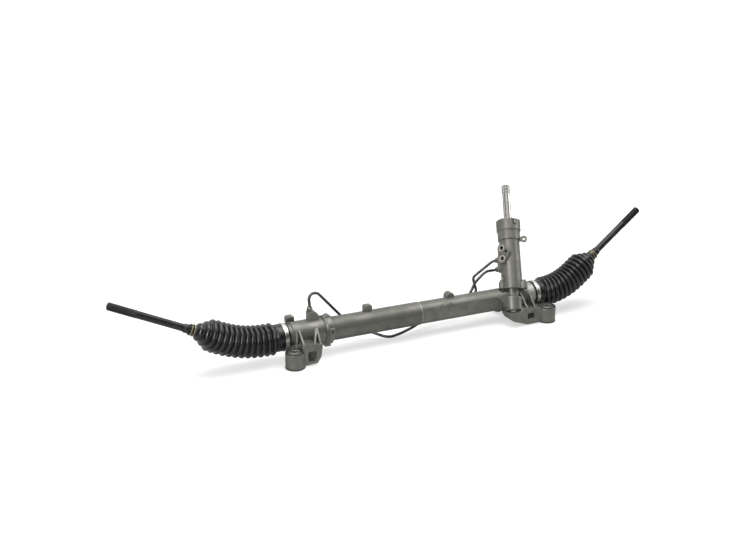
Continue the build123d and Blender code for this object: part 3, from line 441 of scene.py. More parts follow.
def lathe(name: str, origin: Vector, axis: Vector, outline: Outline, around: int = 96, crease: float = 32.0,
          cut: Optional[Callable[[np.ndarray, np.ndarray], np.ndarray]] = None) -> Piece:
    """A piece turned about an axis: a ring, or with a cut a rod that is closed at both ends.

    Args:
        name: Name of the piece.
        origin: Point on its axis.
        axis: Unit vector along its axis.
        outline: Distance along the axis and radius of each corner of its section, in metres.
        around: Points in a circle.
        crease: Angle in degrees above which an edge stays sharp.
        cut: Depth cut away at a distance and an angle, such as a thread's, or None for a ring.

    Returns:
        The piece, at the origin, with its place in its mesh.
    """
    first, second = axes_about(axis)
    section, count = np.array(outline), len(outline)
    angles = np.linspace(0.0, 2.0 * math.pi, around, endpoint=False)
    along, turn = np.meshgrid(section[:, 0], angles, indexing="ij")
    radius = np.repeat(section[:, 1:], around, axis=1)
    if cut is not None:
        radius = radius - cut(along, turn)
    spots = (np.array(origin) + along[..., None] * np.array(axis)
             + (radius * np.cos(turn))[..., None] * np.array(first)
             + (radius * np.sin(turn))[..., None] * np.array(second))
    points, faces = spots.reshape(-1, 3).tolist(), []
    for row in range(count if cut is None else count - 1):
        here, below = row * around, (row + 1) % count * around
        faces += [(here + step, below + step, below + (step + 1) % around, here + (step + 1) % around)
                  for step in range(around)]
    if cut is not None:
        last, pole = (count - 1) * around, len(points)
        points += [tuple(origin + axis * float(section[end, 0])) for end in (0, -1)]
        for step in range(around):
            after = (step + 1) % around
            faces += [(step, after, pole), (last + after, last + step, pole + 1)]
    return smoothed(faced_out(mesh_piece(name, points, faces)), crease)


def wire(name: str, points: Sequence[Vector], radius: float, closed: bool = False) -> Piece:
    """Round wire along points.

    Args:
        name: Name of the piece.
        points: Points along its middle.
        radius: Its radius.
        closed: Whether its end joins its start.

    Returns:
        The piece, at the origin.
    """
    curve = bpy.data.curves.new(name + "_line", "CURVE")
    curve.dimensions = "3D"
    curve.bevel_depth = radius
    curve.bevel_resolution = 4
    curve.use_fill_caps = True
    spline = curve.splines.new("POLY")
    spline.use_cyclic_u = closed
    spline.points.add(len(points) - 1)
    for spot, point in zip(spline.points, points):
        spot.co = (*point, 1.0)
    seed = new_object(name + "_seed", curve)
    made = new_object(name, flattened(seed))
    bpy.data.objects.remove(seed)
    return smoothed(faced_out(made), 60.0)


# ---- finishes
@dataclass(frozen=True)
class CastFinish:
    """Sand-cast aluminium with a fine grain, edges lightened by wear and by a painted highlight, and painted shade
    in its corners.
    """

    name: str
    base: Colour = (0.165, 0.165, 0.148)
    shade: Colour = (0.115, 0.115, 0.102)
    # painted shade: dark colour laid into corners and recesses
    crevice_shade: Colour = (0.018, 0.017, 0.014)
    # light bare colour: wear on edges, and painted highlight on edges and on the machined bands
    wear_and_highlight: Colour = (0.36, 0.36, 0.335)
    metal: float = 0.6
    rough: float = 0.34
    grain: float = 0.0003
    edge: float = 0.0011
    # how far the painted shade in corners reaches
    crevice_shade_reach: float = 0.018
    # X ranges round the rack painted lighter as a highlight, with that painted highlight's radius from the rack
    # axis and soft edge
    machined: Outline = ()
    highlight_band_radius: float = 0.0277
    highlight_band_edge: float = 0.0006

    def build(self) -> Material:
        """Makes the material, with bands round the rack painted lighter as a highlight.

        Returns:
            The material.
        """
        kit = ShaderKit(self.name)
        normal, worn = kit.rounded(self.edge)
        patches = kit.noise(38.0, 5.0, warp=0.4)
        speckle = kit.noise(520.0)
        grains = kit.noise(1150.0, 2.0)
        room = kit.term("ShaderNodeAmbientOcclusion", {"samples": 4}, {"Distance": self.crevice_shade_reach}, "AO")
        tone = (patches * 0.75 + speckle * 0.35).ramp(0.34, 0.72)
        colour = kit.mix_colour(tone, self.shade, self.base)
        # painted shade: corners and recesses darkened by ambient occlusion, broken up by speckle
        colour = kit.mix_colour((1.0 - room).ramp(0.25, 0.95) * (0.45 + 0.6 * speckle), colour, self.crevice_shade)
        parts = kit.node("ShaderNodeSeparateXYZ", None, {0: kit.place})
        along, across, up = (Term(kit, socket) for socket in parts.outputs)
        # painted highlight: the machined X ranges near the rack axis are lightened
        near = ((across - RACK_Y) ** 2.0 + (up - RACK_Z) ** 2.0) ** 0.5 < self.highlight_band_radius
        soft = self.highlight_band_edge
        for low, high in self.machined:
            inside = along.ramp(low - soft, low + soft) * (1.0 - along.ramp(high - soft, high + soft)) * near
            colour = kit.mix_colour(inside * (0.65 + 0.5 * patches), colour, self.wear_and_highlight)
        # edges lightened: partly wear, partly a painted highlight
        colour = kit.mix_colour(worn * (0.3 + 0.5 * speckle), colour, self.wear_and_highlight)
        height = grains * 0.6 + speckle * 0.5 + patches * 0.5
        return kit.surface(
            Base_Color=colour, Metallic=self.metal,
            Roughness=(self.rough + 0.14 * (1.0 - tone) - 0.16 * worn).clamped(),
            Normal=kit.bump(height, self.grain, 0.75, normal))


@dataclass(frozen=True)
class SteelFinish:
    """Bare, plated or oiled steel with fine tool marks and faint stains."""

    name: str
    base: Colour = (0.62, 0.61, 0.58)
    stain: Colour = (0.32, 0.29, 0.25)
    rough: float = 0.22
    metal: float = 1.0
    marks: Colour = WHITE
    rubbed: Colour = (0.75, 0.74, 0.7)
    edge: float = 0.0004
    mark_depth: float = 0.00006

    def build(self) -> Material:
        """Makes the material.

        Returns:
            The material.
        """
        kit = ShaderKit(self.name)
        normal, worn = kit.rounded(self.edge)
        stains = kit.noise(60.0, 5.0, warp=0.8)
        marks = kit.noise(900.0, 3.0, self.marks)
        spots = kit.noise(700.0, 2.0)
        colour = kit.mix_colour((stains * 0.7 + spots * 0.4).ramp(0.5, 0.86), self.base, self.stain)
        return kit.surface(
            Base_Color=kit.mix_colour(worn * 0.4, colour, self.rubbed), Metallic=self.metal,
            Roughness=(self.rough - 0.06 + 0.16 * marks + 0.12 * stains).clamped(),
            Normal=kit.bump(marks, self.mark_depth, 0.5, normal))


@dataclass(frozen=True)
class PaintFinish:
    """Thin dark paint or phosphate on steel, rubbed bright on its edges."""

    name: str
    base: Colour = (0.0085, 0.009, 0.0085)
    faded: Colour = (0.02, 0.02, 0.019)
    bare: Colour = (0.22, 0.21, 0.19)
    rough: float = 0.38
    metal: float = 0.3
    wear: float = 0.4
    edge: float = 0.0005
    grain_depth: float = 0.00018

    def build(self) -> Material:
        """Makes the material.

        Returns:
            The material.
        """
        kit = ShaderKit(self.name)
        normal, worn = kit.rounded(self.edge)
        cloud = kit.noise(45.0, 5.0, warp=0.5)
        grain = kit.noise(950.0)
        colour = kit.mix_colour(cloud.ramp(0.42, 0.7), self.base, self.faded)
        colour = kit.mix_colour(worn * grain.ramp(0.35, 0.65) * self.wear, colour, self.bare)
        return kit.surface(
            Base_Color=colour, Metallic=(self.metal + 0.5 * worn * self.wear).clamped(),
            Roughness=(self.rough + 0.12 * (cloud - 0.5) + 0.1 * (grain - 0.5)).clamped(),
            Normal=kit.bump(grain * 0.7 + cloud * 0.6, self.grain_depth, 0.6, normal))


@dataclass(frozen=True)
class RubberFinish:
    """Moulded rubber with a soft sheen, fine pores and a film of dust."""

    name: str
    base: Colour = (0.0045, 0.0052, 0.0052)
    dust: Colour = (0.014, 0.015, 0.0135)
    rough: float = 0.27
    bloom: float = 0.35
    pore_depth: float = 0.0001

    def build(self) -> Material:
        """Makes the material.

        Returns:
            The material.
        """
        kit = ShaderKit(self.name)
        cloud = kit.noise(32.0, 5.0, warp=0.6)
        pores = kit.noise(1400.0, 2.0)
        film = (cloud * 0.8 + pores * 0.3).ramp(0.46, 0.86) * self.bloom
        return kit.surface(
            Base_Color=kit.mix_colour(film, self.base, self.dust), Metallic=0.0,
            Roughness=(self.rough + 0.22 * film + 0.08 * (pores - 0.5)).clamped(),
            Normal=kit.bump(pores * 0.5 + cloud * 0.5, self.pore_depth, 0.4))


@dataclass(frozen=True)
class PlasticFinish:
    """Moulded plastic with slight flow marks."""

    name: str
    base: Colour
    rough: float = 0.4
    shade: float = 0.7
    flow_depth: float = 0.00008

    def build(self) -> Material:
        """Makes the material.

        Returns:
            The material.
        """
        kit = ShaderKit(self.name)
        flow = kit.noise(90.0, 4.0, (1.0, 1.0, 0.4), 1.2)
        fine = kit.noise(1200.0, 2.0)
        darker = tuple(part * self.shade for part in self.base)
        return kit.surface(
            Base_Color=kit.mix_colour(flow.ramp(0.3, 0.75), darker, self.base), Metallic=0.0,
            Roughness=(self.rough + 0.15 * (flow - 0.5)).clamped(),
            Normal=kit.bump(flow * 0.5 + fine * 0.5, self.flow_depth, 0.5))


class Finishes:
    """Every finish of the rack, built once."""

    def __init__(self) -> None:
        """Builds the materials."""
        # machined gives X ranges painted lighter as a highlight: the seam line and the right end by the band
        self.casting = CastFinish("cast_aluminium", machined=((0.3015, 0.3032), (0.568, 0.592))).build()
        self.tower = CastFinish("cast_tower", (0.175, 0.173, 0.155), (0.125, 0.124, 0.11)).build()
        self.tube = CastFinish("tube_steel", (0.142, 0.142, 0.127), (0.1, 0.1, 0.089),
                               rough=0.43, grain=0.00016).build()
        self.bright = SteelFinish("bright_steel", (0.5, 0.495, 0.48), rough=0.14).build()
        self.machined = SteelFinish("machined_steel", marks=(6.0, 1.0, 1.0)).build()
        self.bearing = SteelFinish("bearing_steel", (0.5, 0.49, 0.47), rough=0.18).build()
        self.band = SteelFinish("band_steel", (0.56, 0.55, 0.52), (0.34, 0.32, 0.29), 0.25).build()
        self.zinc = SteelFinish("yellow_zinc", (0.34, 0.31, 0.19), (0.2, 0.17, 0.09), 0.36, 0.85).build()
        self.ports = SteelFinish("port_steel", (0.4, 0.39, 0.35), (0.26, 0.25, 0.22), 0.4, 0.3).build()
        self.washer = SteelFinish("washer_steel", (0.2, 0.195, 0.18), (0.1, 0.095, 0.085), 0.34).build()
        self.rod = PaintFinish("rod_black").build()
        self.line = PaintFinish("line_steel", (0.045, 0.046, 0.045), (0.085, 0.085, 0.08),
                                (0.3, 0.29, 0.26), 0.34, 0.55, 0.5).build()
        self.nut = PaintFinish("nut_steel", (0.12, 0.118, 0.11), (0.18, 0.175, 0.16),
                               (0.45, 0.44, 0.4), 0.34, 0.7, 0.7).build()
        self.boot = RubberFinish("boot_rubber").build()
        self.bush = RubberFinish("bush_rubber", (0.013, 0.013, 0.014), rough=0.55).build()
        self.seal = RubberFinish("seal_rubber", (0.02, 0.018, 0.017), (0.06, 0.055, 0.05), 0.4).build()
        self.seat = PlasticFinish("seat_plastic", (0.62, 0.6, 0.5)).build()
        self.ring = PlasticFinish("ring_plastic", (0.16, 0.13, 0.09)).build()


# ---- what the frame says
class Side(Enum):
    """The two ends of the rack."""

    LEFT = "left"
    RIGHT = "right"

    @property
    def sign(self) -> float:
        """Which way this end points along X."""
        return -1.0 if self is Side.LEFT else 1.0

    def named(self, part: str) -> str:
        """Name of one of this end's pieces or bodies."""
        return f"{self.value}_{part}"


@dataclass
class SideLayout:
    """Where one end's boot and rod lie, in metres.

    Ball is the ball joint's centre and rod the unit vector along the tie rod. Start is the X of the
    boot's open end, from which cuff and band give the plain cuff's end and the band's middle. The last
    fold and the wire clip are folds_end and clip away from the ball, along the rod.
    """

    side: Side
    ball: Vector
    rod: Vector
    start: float
    cuff: float
    band: float
    folds_end: float
    clip: float

    @classmethod
    def read(cls, side: Side) -> "SideLayout":
        """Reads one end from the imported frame.

        Args:
            side: Which end.

        Returns:
            Its layout.
        """
        ball = Vector(JOINTS[side.named("rod_swing")]["pos_m"])
        rod = Vector(MOUNTS[side.named("rod_thread")]["axis"]).normalized()
        low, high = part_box(side.named("bellows"))
        if side is Side.LEFT:
            return cls(side, ball, rod, start=high.x - 0.0062, cuff=0.0290, band=0.0080,
                       folds_end=0.103, clip=0.1100)
        return cls(side, ball, rod, start=low.x - 0.0070, cuff=0.0270, band=0.0085,
                   folds_end=0.111, clip=0.1185)


# ---- boots
@dataclass
class Bellows:
    """Rubber boot between the casing and a tie rod, in three pieces that each cross one joint."""

    layout: SideLayout
    finishes: Finishes
    folds: int = 14
    cuff_radius: float = 0.0282
    cuff_step: float = 0.3
    small_cuff: float = 0.013
    small_radius: float = 0.0106
    valley_growth: float = 0.0058
    valley_radius: float = 0.0258
    first_peak: float = 0.0180
    peak_growth: float = 0.0072
    peak_radius: float = 0.0335
    fold_fullness: float = 0.85
    reach: float = 0.050
    wall: float = 0.0012
    around: int = 72
    step: float = 0.00075
    cuts: tuple[float, float] = (0.011, 0.022)
    cuff_share: float = 0.8
    tilt_end: float = 0.060
    groove_depth: float = 0.0007
    groove_pitch: float = 0.0075
    groove_start: float = 0.0155
    groove_flank: tuple[float, float] = (0.62, 0.95)

    def tree(self) -> ShapeKit:
        """Geometry Nodes for a corrugated sleeve on a bent path.

        Returns:
            The tree, with named sizes.
        """
        kit = ShapeKit(self.layout.side.named("boot_shape"))
        start, bend, finish = kit.sizes("Start", "Bend", "Finish", kind="Vector")
        turn, low, high, length, pitch, small, grooves = kit.sizes(
            "Bend radius", "From", "To", "Length", "Pitch", "Small end", "Groove start")
        count, = kit.sizes("Steps", kind="Int")
        index = kit.term("GeometryNodeInputIndex")
        spot = kit.mix_vector(index.clamped(), start, bend)
        spot = kit.mix_vector((index - 1.0).clamped(), spot, finish)
        path = kit.term("GeometryNodeMeshLine", None, {"Count": 3})
        path = kit.term("GeometryNodeSetPosition", None, {"Geometry": path, "Position": spot})
        path = kit.term("GeometryNodeMeshToCurve", None, {0: path})
        path = kit.term("GeometryNodeFilletCurve", {"mode": "POLY"},
                        {"Curve": path, "Radius": turn, "Count": 40})
        path = kit.term("GeometryNodeTrimCurve", {"mode": "FACTOR"}, {0: path, 2: low, 3: high})
        path = kit.term("GeometryNodeResampleCurve", {"mode": "COUNT"}, {"Curve": path, "Count": count})
        share = low + (high - low) * kit.term("GeometryNodeSplineParameter")
        folds = ((1.0 - share) * length - small) / pitch
        inside = folds.most(0.0).least(float(self.folds))
        fold, part = kit.math("FLOOR", inside), kit.math("FRACT", inside)
        valley = (self.small_radius + self.valley_growth * fold).least(self.valley_radius)
        after = (self.small_radius + self.valley_growth * (fold + 1.0)).least(self.valley_radius)
        peak = (self.first_peak + self.peak_growth * fold).least(self.peak_radius)
        swell = kit.math("SINE", part * math.pi).most(0.0) ** self.fold_fullness
        radius = valley + (after - valley) * part + (peak - (valley + after) * 0.5) * swell
        cuff = (folds - self.folds).ramp(0.0, self.cuff_step)
        radius = radius + (self.cuff_radius - self.valley_radius) * cuff
        run = (share * length - grooves) / self.groove_pitch
        notch = kit.math("ABSOLUTE", kit.math("FRACT", run) * 2.0 - 1.0).ramp(*self.groove_flank)
        radius = radius - self.groove_depth * notch * (run > 0.0) * (folds > float(self.folds))
        ring = kit.term("GeometryNodeCurvePrimitiveCircle", {"mode": "RADIUS"},
                        {"Resolution": self.around, "Radius": 1.0})
        kit.close(kit.term("GeometryNodeCurveToMesh", None,
                           {"Curve": path, "Profile Curve": ring, "Scale": radius}), self.finishes.boot)
        return kit

    def build(self) -> list[Piece]:
        """Makes the three pieces.

        Returns:
            The pieces, from the casing outwards.
        """
        layout = self.layout
        start = Vector((layout.start, layout.ball.y, layout.ball.z))
        finish = layout.ball + layout.rod * (layout.folds_end + self.small_cuff)
        before, beyond = layout.ball - start, finish - layout.ball
        turn = before.angle(layout.rod)
        radius = self.reach / math.tan(turn / 2)
        length = before.length + beyond.length - 2 * self.reach + radius * turn
        before_ball = before.length - self.reach + radius * turn / 2
        pitch = (length - layout.cuff - self.small_cuff) / self.folds
        shares = [0.0]
        for cut in self.cuts:
            folds = round(2.0 * (length - before_ball - cut - self.small_cuff) / pitch) / 2.0
            shares.append(1.0 - (folds * pitch + self.small_cuff) / length)
        shares.append(1.0)
        tree = self.tree()
        made = []
        for number, part in enumerate(("cuff", "bend", "end")):
            low, high = shares[number:number + 2]
            piece = tree.grow(
                layout.side.named("boot_" + part), Start=tuple(start), Bend=tuple(layout.ball),
                Finish=tuple(finish), Bend_radius=radius, From=low, To=high, Length=length, Pitch=pitch,
                Steps=max(16, int((high - low) * length / self.step)), Small_end=self.small_cuff,
                Groove_start=self.groove_start)
            skin = np.array([vertex.co for vertex in piece.data.vertices])
            self.thicken(piece)
            dressed(piece, self.finishes.boot)
            self.cross(piece, number, skin[:self.around], skin[-self.around:])
            made.append(piece)
        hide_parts(layout.side.named("bellows"))
        return made

    def thicken(self, piece: Piece) -> None:
        """Gives the sleeve its wall, inwards.

        Args:
            piece: The sleeve.
        """
        solid = piece.modifiers.new("wall", "SOLIDIFY")
        solid.thickness = self.wall
        solid.offset = -1.0
        mesh = flattened(piece)
        piece.modifiers.clear()
        piece.data = mesh
        mesh.polygons.foreach_set("use_smooth", [True] * len(mesh.polygons))

    def cross(self, piece: Piece, number: int, head: np.ndarray, tail: np.ndarray) -> None:
        """Works out the piece's axis and how far its end rings reach along it, which nothing uses, and bakes the
        piece's place into its mesh.

        Args:
            piece: The piece.
            number: Which of the three it is, counted from the casing.
            head: Points of its first ring.
            tail: Points of its last ring.
        """
        layout, origin = self.layout, np.array(self.layout.ball)
        bodies = ("casing", "rack", layout.side.named("seat"), layout.side.named("rod"))
        if number == 0:
            axis = np.array((layout.side.sign, 0.0, 0.0))
        elif number == 1:
            axis = tail.mean(axis=0) - head.mean(axis=0)
        else:
            axis = np.cross(head[self.around // 4] - head[0], head[self.around // 2] - head[0])
            axis *= np.sign(axis @ np.array(layout.rod))
        axis = axis / np.linalg.norm(axis)
        low, high = float(((head - origin) @ axis).max()), float(((tail - origin) @ axis).min())
        if number == 0:
            low += layout.cuff * self.cuff_share
        if number == 2:
            high = self.tilt_end
        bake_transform(piece)


# ---- rods and clamps
@dataclass
class TieRod:
    """Inner tie rod with its ball, two collars for the boot and a rolled thread.

    The outlines give distances and radii in millimetres: the shoulder and the taper from the ball's
    centre, the collars from the wire clip and the shank's skin, and the tip from the rod's end.
    """

    layout: SideLayout
    finishes: Finishes
    length: float = 0.285
    ball_radius: float = 0.0125
    neck: float = 0.0062
    shank: float = 0.0076
    thread: float = 0.0081
    thread_start: float = 0.229
    thread_depth: float = 0.00092
    thread_gap: float = 0.0005
    run_in: float = 0.003
    run_out: float = 0.0012
    pitch: float = 0.0015
    shoulder: Outline = ((12.5, 6.2), (28.0, 6.2), (34.0, 7.6), (60.0, 7.6))
    collars: Outline = ((-10.0, 0.0), (-9.0, 1.2), (-8.6, 1.6), (-7.0, 1.6), (-6.6, 0.8), (0.0, 0.8),
                        (5.6, 0.8), (6.0, 1.3), (6.4, 1.6), (12.0, 1.6), (15.8, 1.6), (16.3, 1.2),
                        (18.0, 0.3), (21.0, 0.0))
    taper: Outline = ((150.0, 7.6), (190.0, 7.6), (222.0, 7.6), (224.0, 7.7), (227.5, 8.0), (229.0, 8.1))
    tip: Outline = ((-2.0, 8.1), (-0.4, 6.4), (0.0, 5.6))

    def rows(self) -> Outline:
        """Outline of the rod from the ball to the tip.

        Returns:
            The rings' distances and radii, in metres.
        """
        turns = np.linspace(math.pi - 0.02, math.asin(self.neck / self.ball_radius), 28)
        ball = [(self.ball_radius * math.cos(turn), self.ball_radius * math.sin(turn)) for turn in turns]
        collars = placed(self.collars, self.layout.clip, self.shank)
        step, tip = self.pitch / 8, placed(self.tip, self.length)
        threads = [(along, self.thread) for along in np.arange(self.thread_start + step, tip[0][0], step)]
        return ball + placed(self.shoulder) + collars + placed(self.taper) + threads + tip

    def groove(self, along: np.ndarray, turn: np.ndarray) -> np.ndarray:
        """Depth of the rolled thread, faded at both ends.

        Args:
            along: Distances from the ball's centre.
            turn: Angles about the rod.

        Returns:
            The depths.
        """
        wave = np.abs(((along / self.pitch - turn / (2 * math.pi)) % 1.0) * 2.0 - 1.0)
        wave = np.clip(wave * 1.25 - 0.12, 0.0, 1.0)
        fade = np.clip((along - self.thread_start - self.thread_gap) / self.run_in, 0.0, 1.0)
        ending = np.clip((self.length - self.run_out - along) / self.run_out, 0.0, 1.0)
        return self.thread_depth * wave * fade * ending

    def build(self) -> Piece:
        """Makes the rod and lets it ride on its body.

        Returns:
            The rod.
        """
        side = self.layout.side
        rod = lathe(side.named("inner_rod"), self.layout.ball, self.layout.rod, self.rows(),
                    around=40, crease=50.0, cut=self.groove)
        dressed(rod, self.finishes.rod)
        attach(rod, side.named("rod"))
        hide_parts(side.named("tie_rod"))
        return rod


@dataclass
class WireClip:
    """Spring wire wound twice round the boot's small end, with its two ends bent up."""

    layout: SideLayout
    finishes: Finishes
    radius: float = 0.0116
    wire: float = 0.0008
    start: float = 62.0
    turns: float = 2.12
    steps_per_turn: int = 40
    pitch: float = 0.0062
    crossing: float = 0.16
    tail: float = 0.0028
    tail_lift: float = 0.9
    tail_spread: float = 0.0006

    def centre(self) -> Vector:
        """Middle of the clip, on the rod's axis."""
        return self.layout.ball + self.layout.rod * self.layout.clip

    def coil(self) -> list[Vector]:
        """Points along the wire's two loops and the step between them.

        Returns:
            The points.
        """
        rod, (first, second) = self.layout.rod, axes_about(self.layout.rod)
        steps, points = int(self.turns * self.steps_per_turn), []
        for step in range(steps + 1):
            angle = math.radians(self.start) + 2 * math.pi * self.turns * step / steps
            share = min(1.0, max(0.0, (step / steps - 0.5) / self.crossing + 0.5))
            height = (share * share * (3.0 - 2.0 * share) - 0.5) * self.pitch
            across = first * math.cos(angle) + second * math.sin(angle)
            points.append(self.centre() + rod * height + across * self.radius)
        return points

    def end(self, near: Vector, inner: Vector, way: float) -> list[Vector]:
        """Points along one bent end.

        Args:
            near: Last point of the coil.
            inner: The point before it.
            way: 1 where the end leans along the rod, -1 where it leans back.

        Returns:
            The points, from the coil outwards.
        """
        rod, away = self.layout.rod, near - self.centre()
        along, outward = (near - inner).normalized(), (away - rod * away.dot(rod)).normalized()
        return [near + along * self.tail * share + outward * self.tail * share ** 2 * self.tail_lift
                + rod * way * self.tail_spread * share for share in (0.25, 0.5, 0.75, 1.0)]

    def build(self) -> Piece:
        """Makes the clip and lets it ride on the rod.

        Returns:
            The clip.
        """
        side, points = self.layout.side, self.coil()
        points = self.end(*points[:2], -1.0)[::-1] + points + self.end(*points[:-3:-1], 1.0)
        clip = dressed(wire(side.named("wire_clip"), points, self.wire), self.finishes.zinc)
        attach(clip, side.named("rod"))
        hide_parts(side.named("rod_clip"))
        return clip


@dataclass
class BandClamp:
    """Flat steel band round the boot's large end, closed by a crimped ear."""

    layout: SideLayout
    finishes: Finishes
    radius: float = 0.0287
    width: float = 0.0080
    thickness: float = 0.0009
    corner: float = 0.00025
    around: int = 240
    ear_angle: float = 40.0
    ear_height: float = 0.0042
    ear_half: float = 8.5
    ear_flank: float = 2.2
    ear_pinch: float = 0.25

    def tree(self) -> ShapeKit:
        """Geometry Nodes for a ring of strap with one raised ear.

        Returns:
            The tree, with named sizes.
        """
        kit = ShapeKit(self.layout.side.named("band_shape"))
        radius, width, thickness, ear, height, half = kit.sizes(
            "Radius", "Width", "Thickness", "Ear angle", "Ear height", "Ear half width")
        centre, = kit.sizes("Centre", kind="Vector")
        path = kit.term("GeometryNodeCurvePrimitiveCircle", {"mode": "RADIUS"},
                        {"Resolution": self.around, "Radius": 1.0})
        share = kit.term("GeometryNodeSplineParameter")
        away = kit.math("FRACT", (share * 360.0 - ear + 540.0) / 360.0) * 360.0 - 180.0
        away = kit.math("ABSOLUTE", away)
        rise = 1.0 - ((away - half) / self.ear_flank).clamped()
        pinch = 1.0 - self.ear_pinch * (1.0 - (away / half).clamped())
        reach = radius + height * rise * pinch
        angle = share * (2.0 * math.pi)
        spot = kit.term("ShaderNodeCombineXYZ", None,
                        {0: kit.math("COSINE", angle) * reach, 1: kit.math("SINE", angle) * reach})
        path = kit.term("GeometryNodeSetPosition", None, {"Geometry": path, "Position": spot})
        path = kit.term("GeometryNodeSetCurveNormal", {"mode": "Z_UP"}, {"Curve": path})
        strap = kit.term("GeometryNodeCurvePrimitiveQuadrilateral", {"mode": "RECTANGLE"},
                         {"Width": thickness, "Height": width})
        strap = kit.term("GeometryNodeFilletCurve", {"mode": "POLY"},
                         {"Curve": strap, "Radius": self.corner, "Count": 3})
        ring = kit.term("GeometryNodeCurveToMesh", None,
                        {"Curve": path, "Profile Curve": strap, "Fill Caps": True})
        ring = kit.term("GeometryNodeTransform", None, {
            "Geometry": ring, "Translation": centre, "Rotation": (0.0, math.pi / 2, 0.0)})
        kit.close(ring, self.finishes.band)
        return kit

    def build(self) -> Piece:
        """Makes the band and lets it ride on the casing.

        Returns:
            The band.
        """
        side, ball = self.layout.side, self.layout.ball
        middle = self.layout.start + side.sign * self.layout.band
        band = self.tree().grow(
            side.named("band"), Radius=self.radius, Width=self.width, Thickness=self.thickness,
            Centre=(middle, ball.y, ball.z), Ear_angle=self.ear_angle, Ear_height=self.ear_height,
            Ear_half_width=self.ear_half)
        dressed(smoothed(faced_out(band), 40.0), self.finishes.band)
        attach(band, "casing")
        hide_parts(side.named("band_clamp"))
        return band


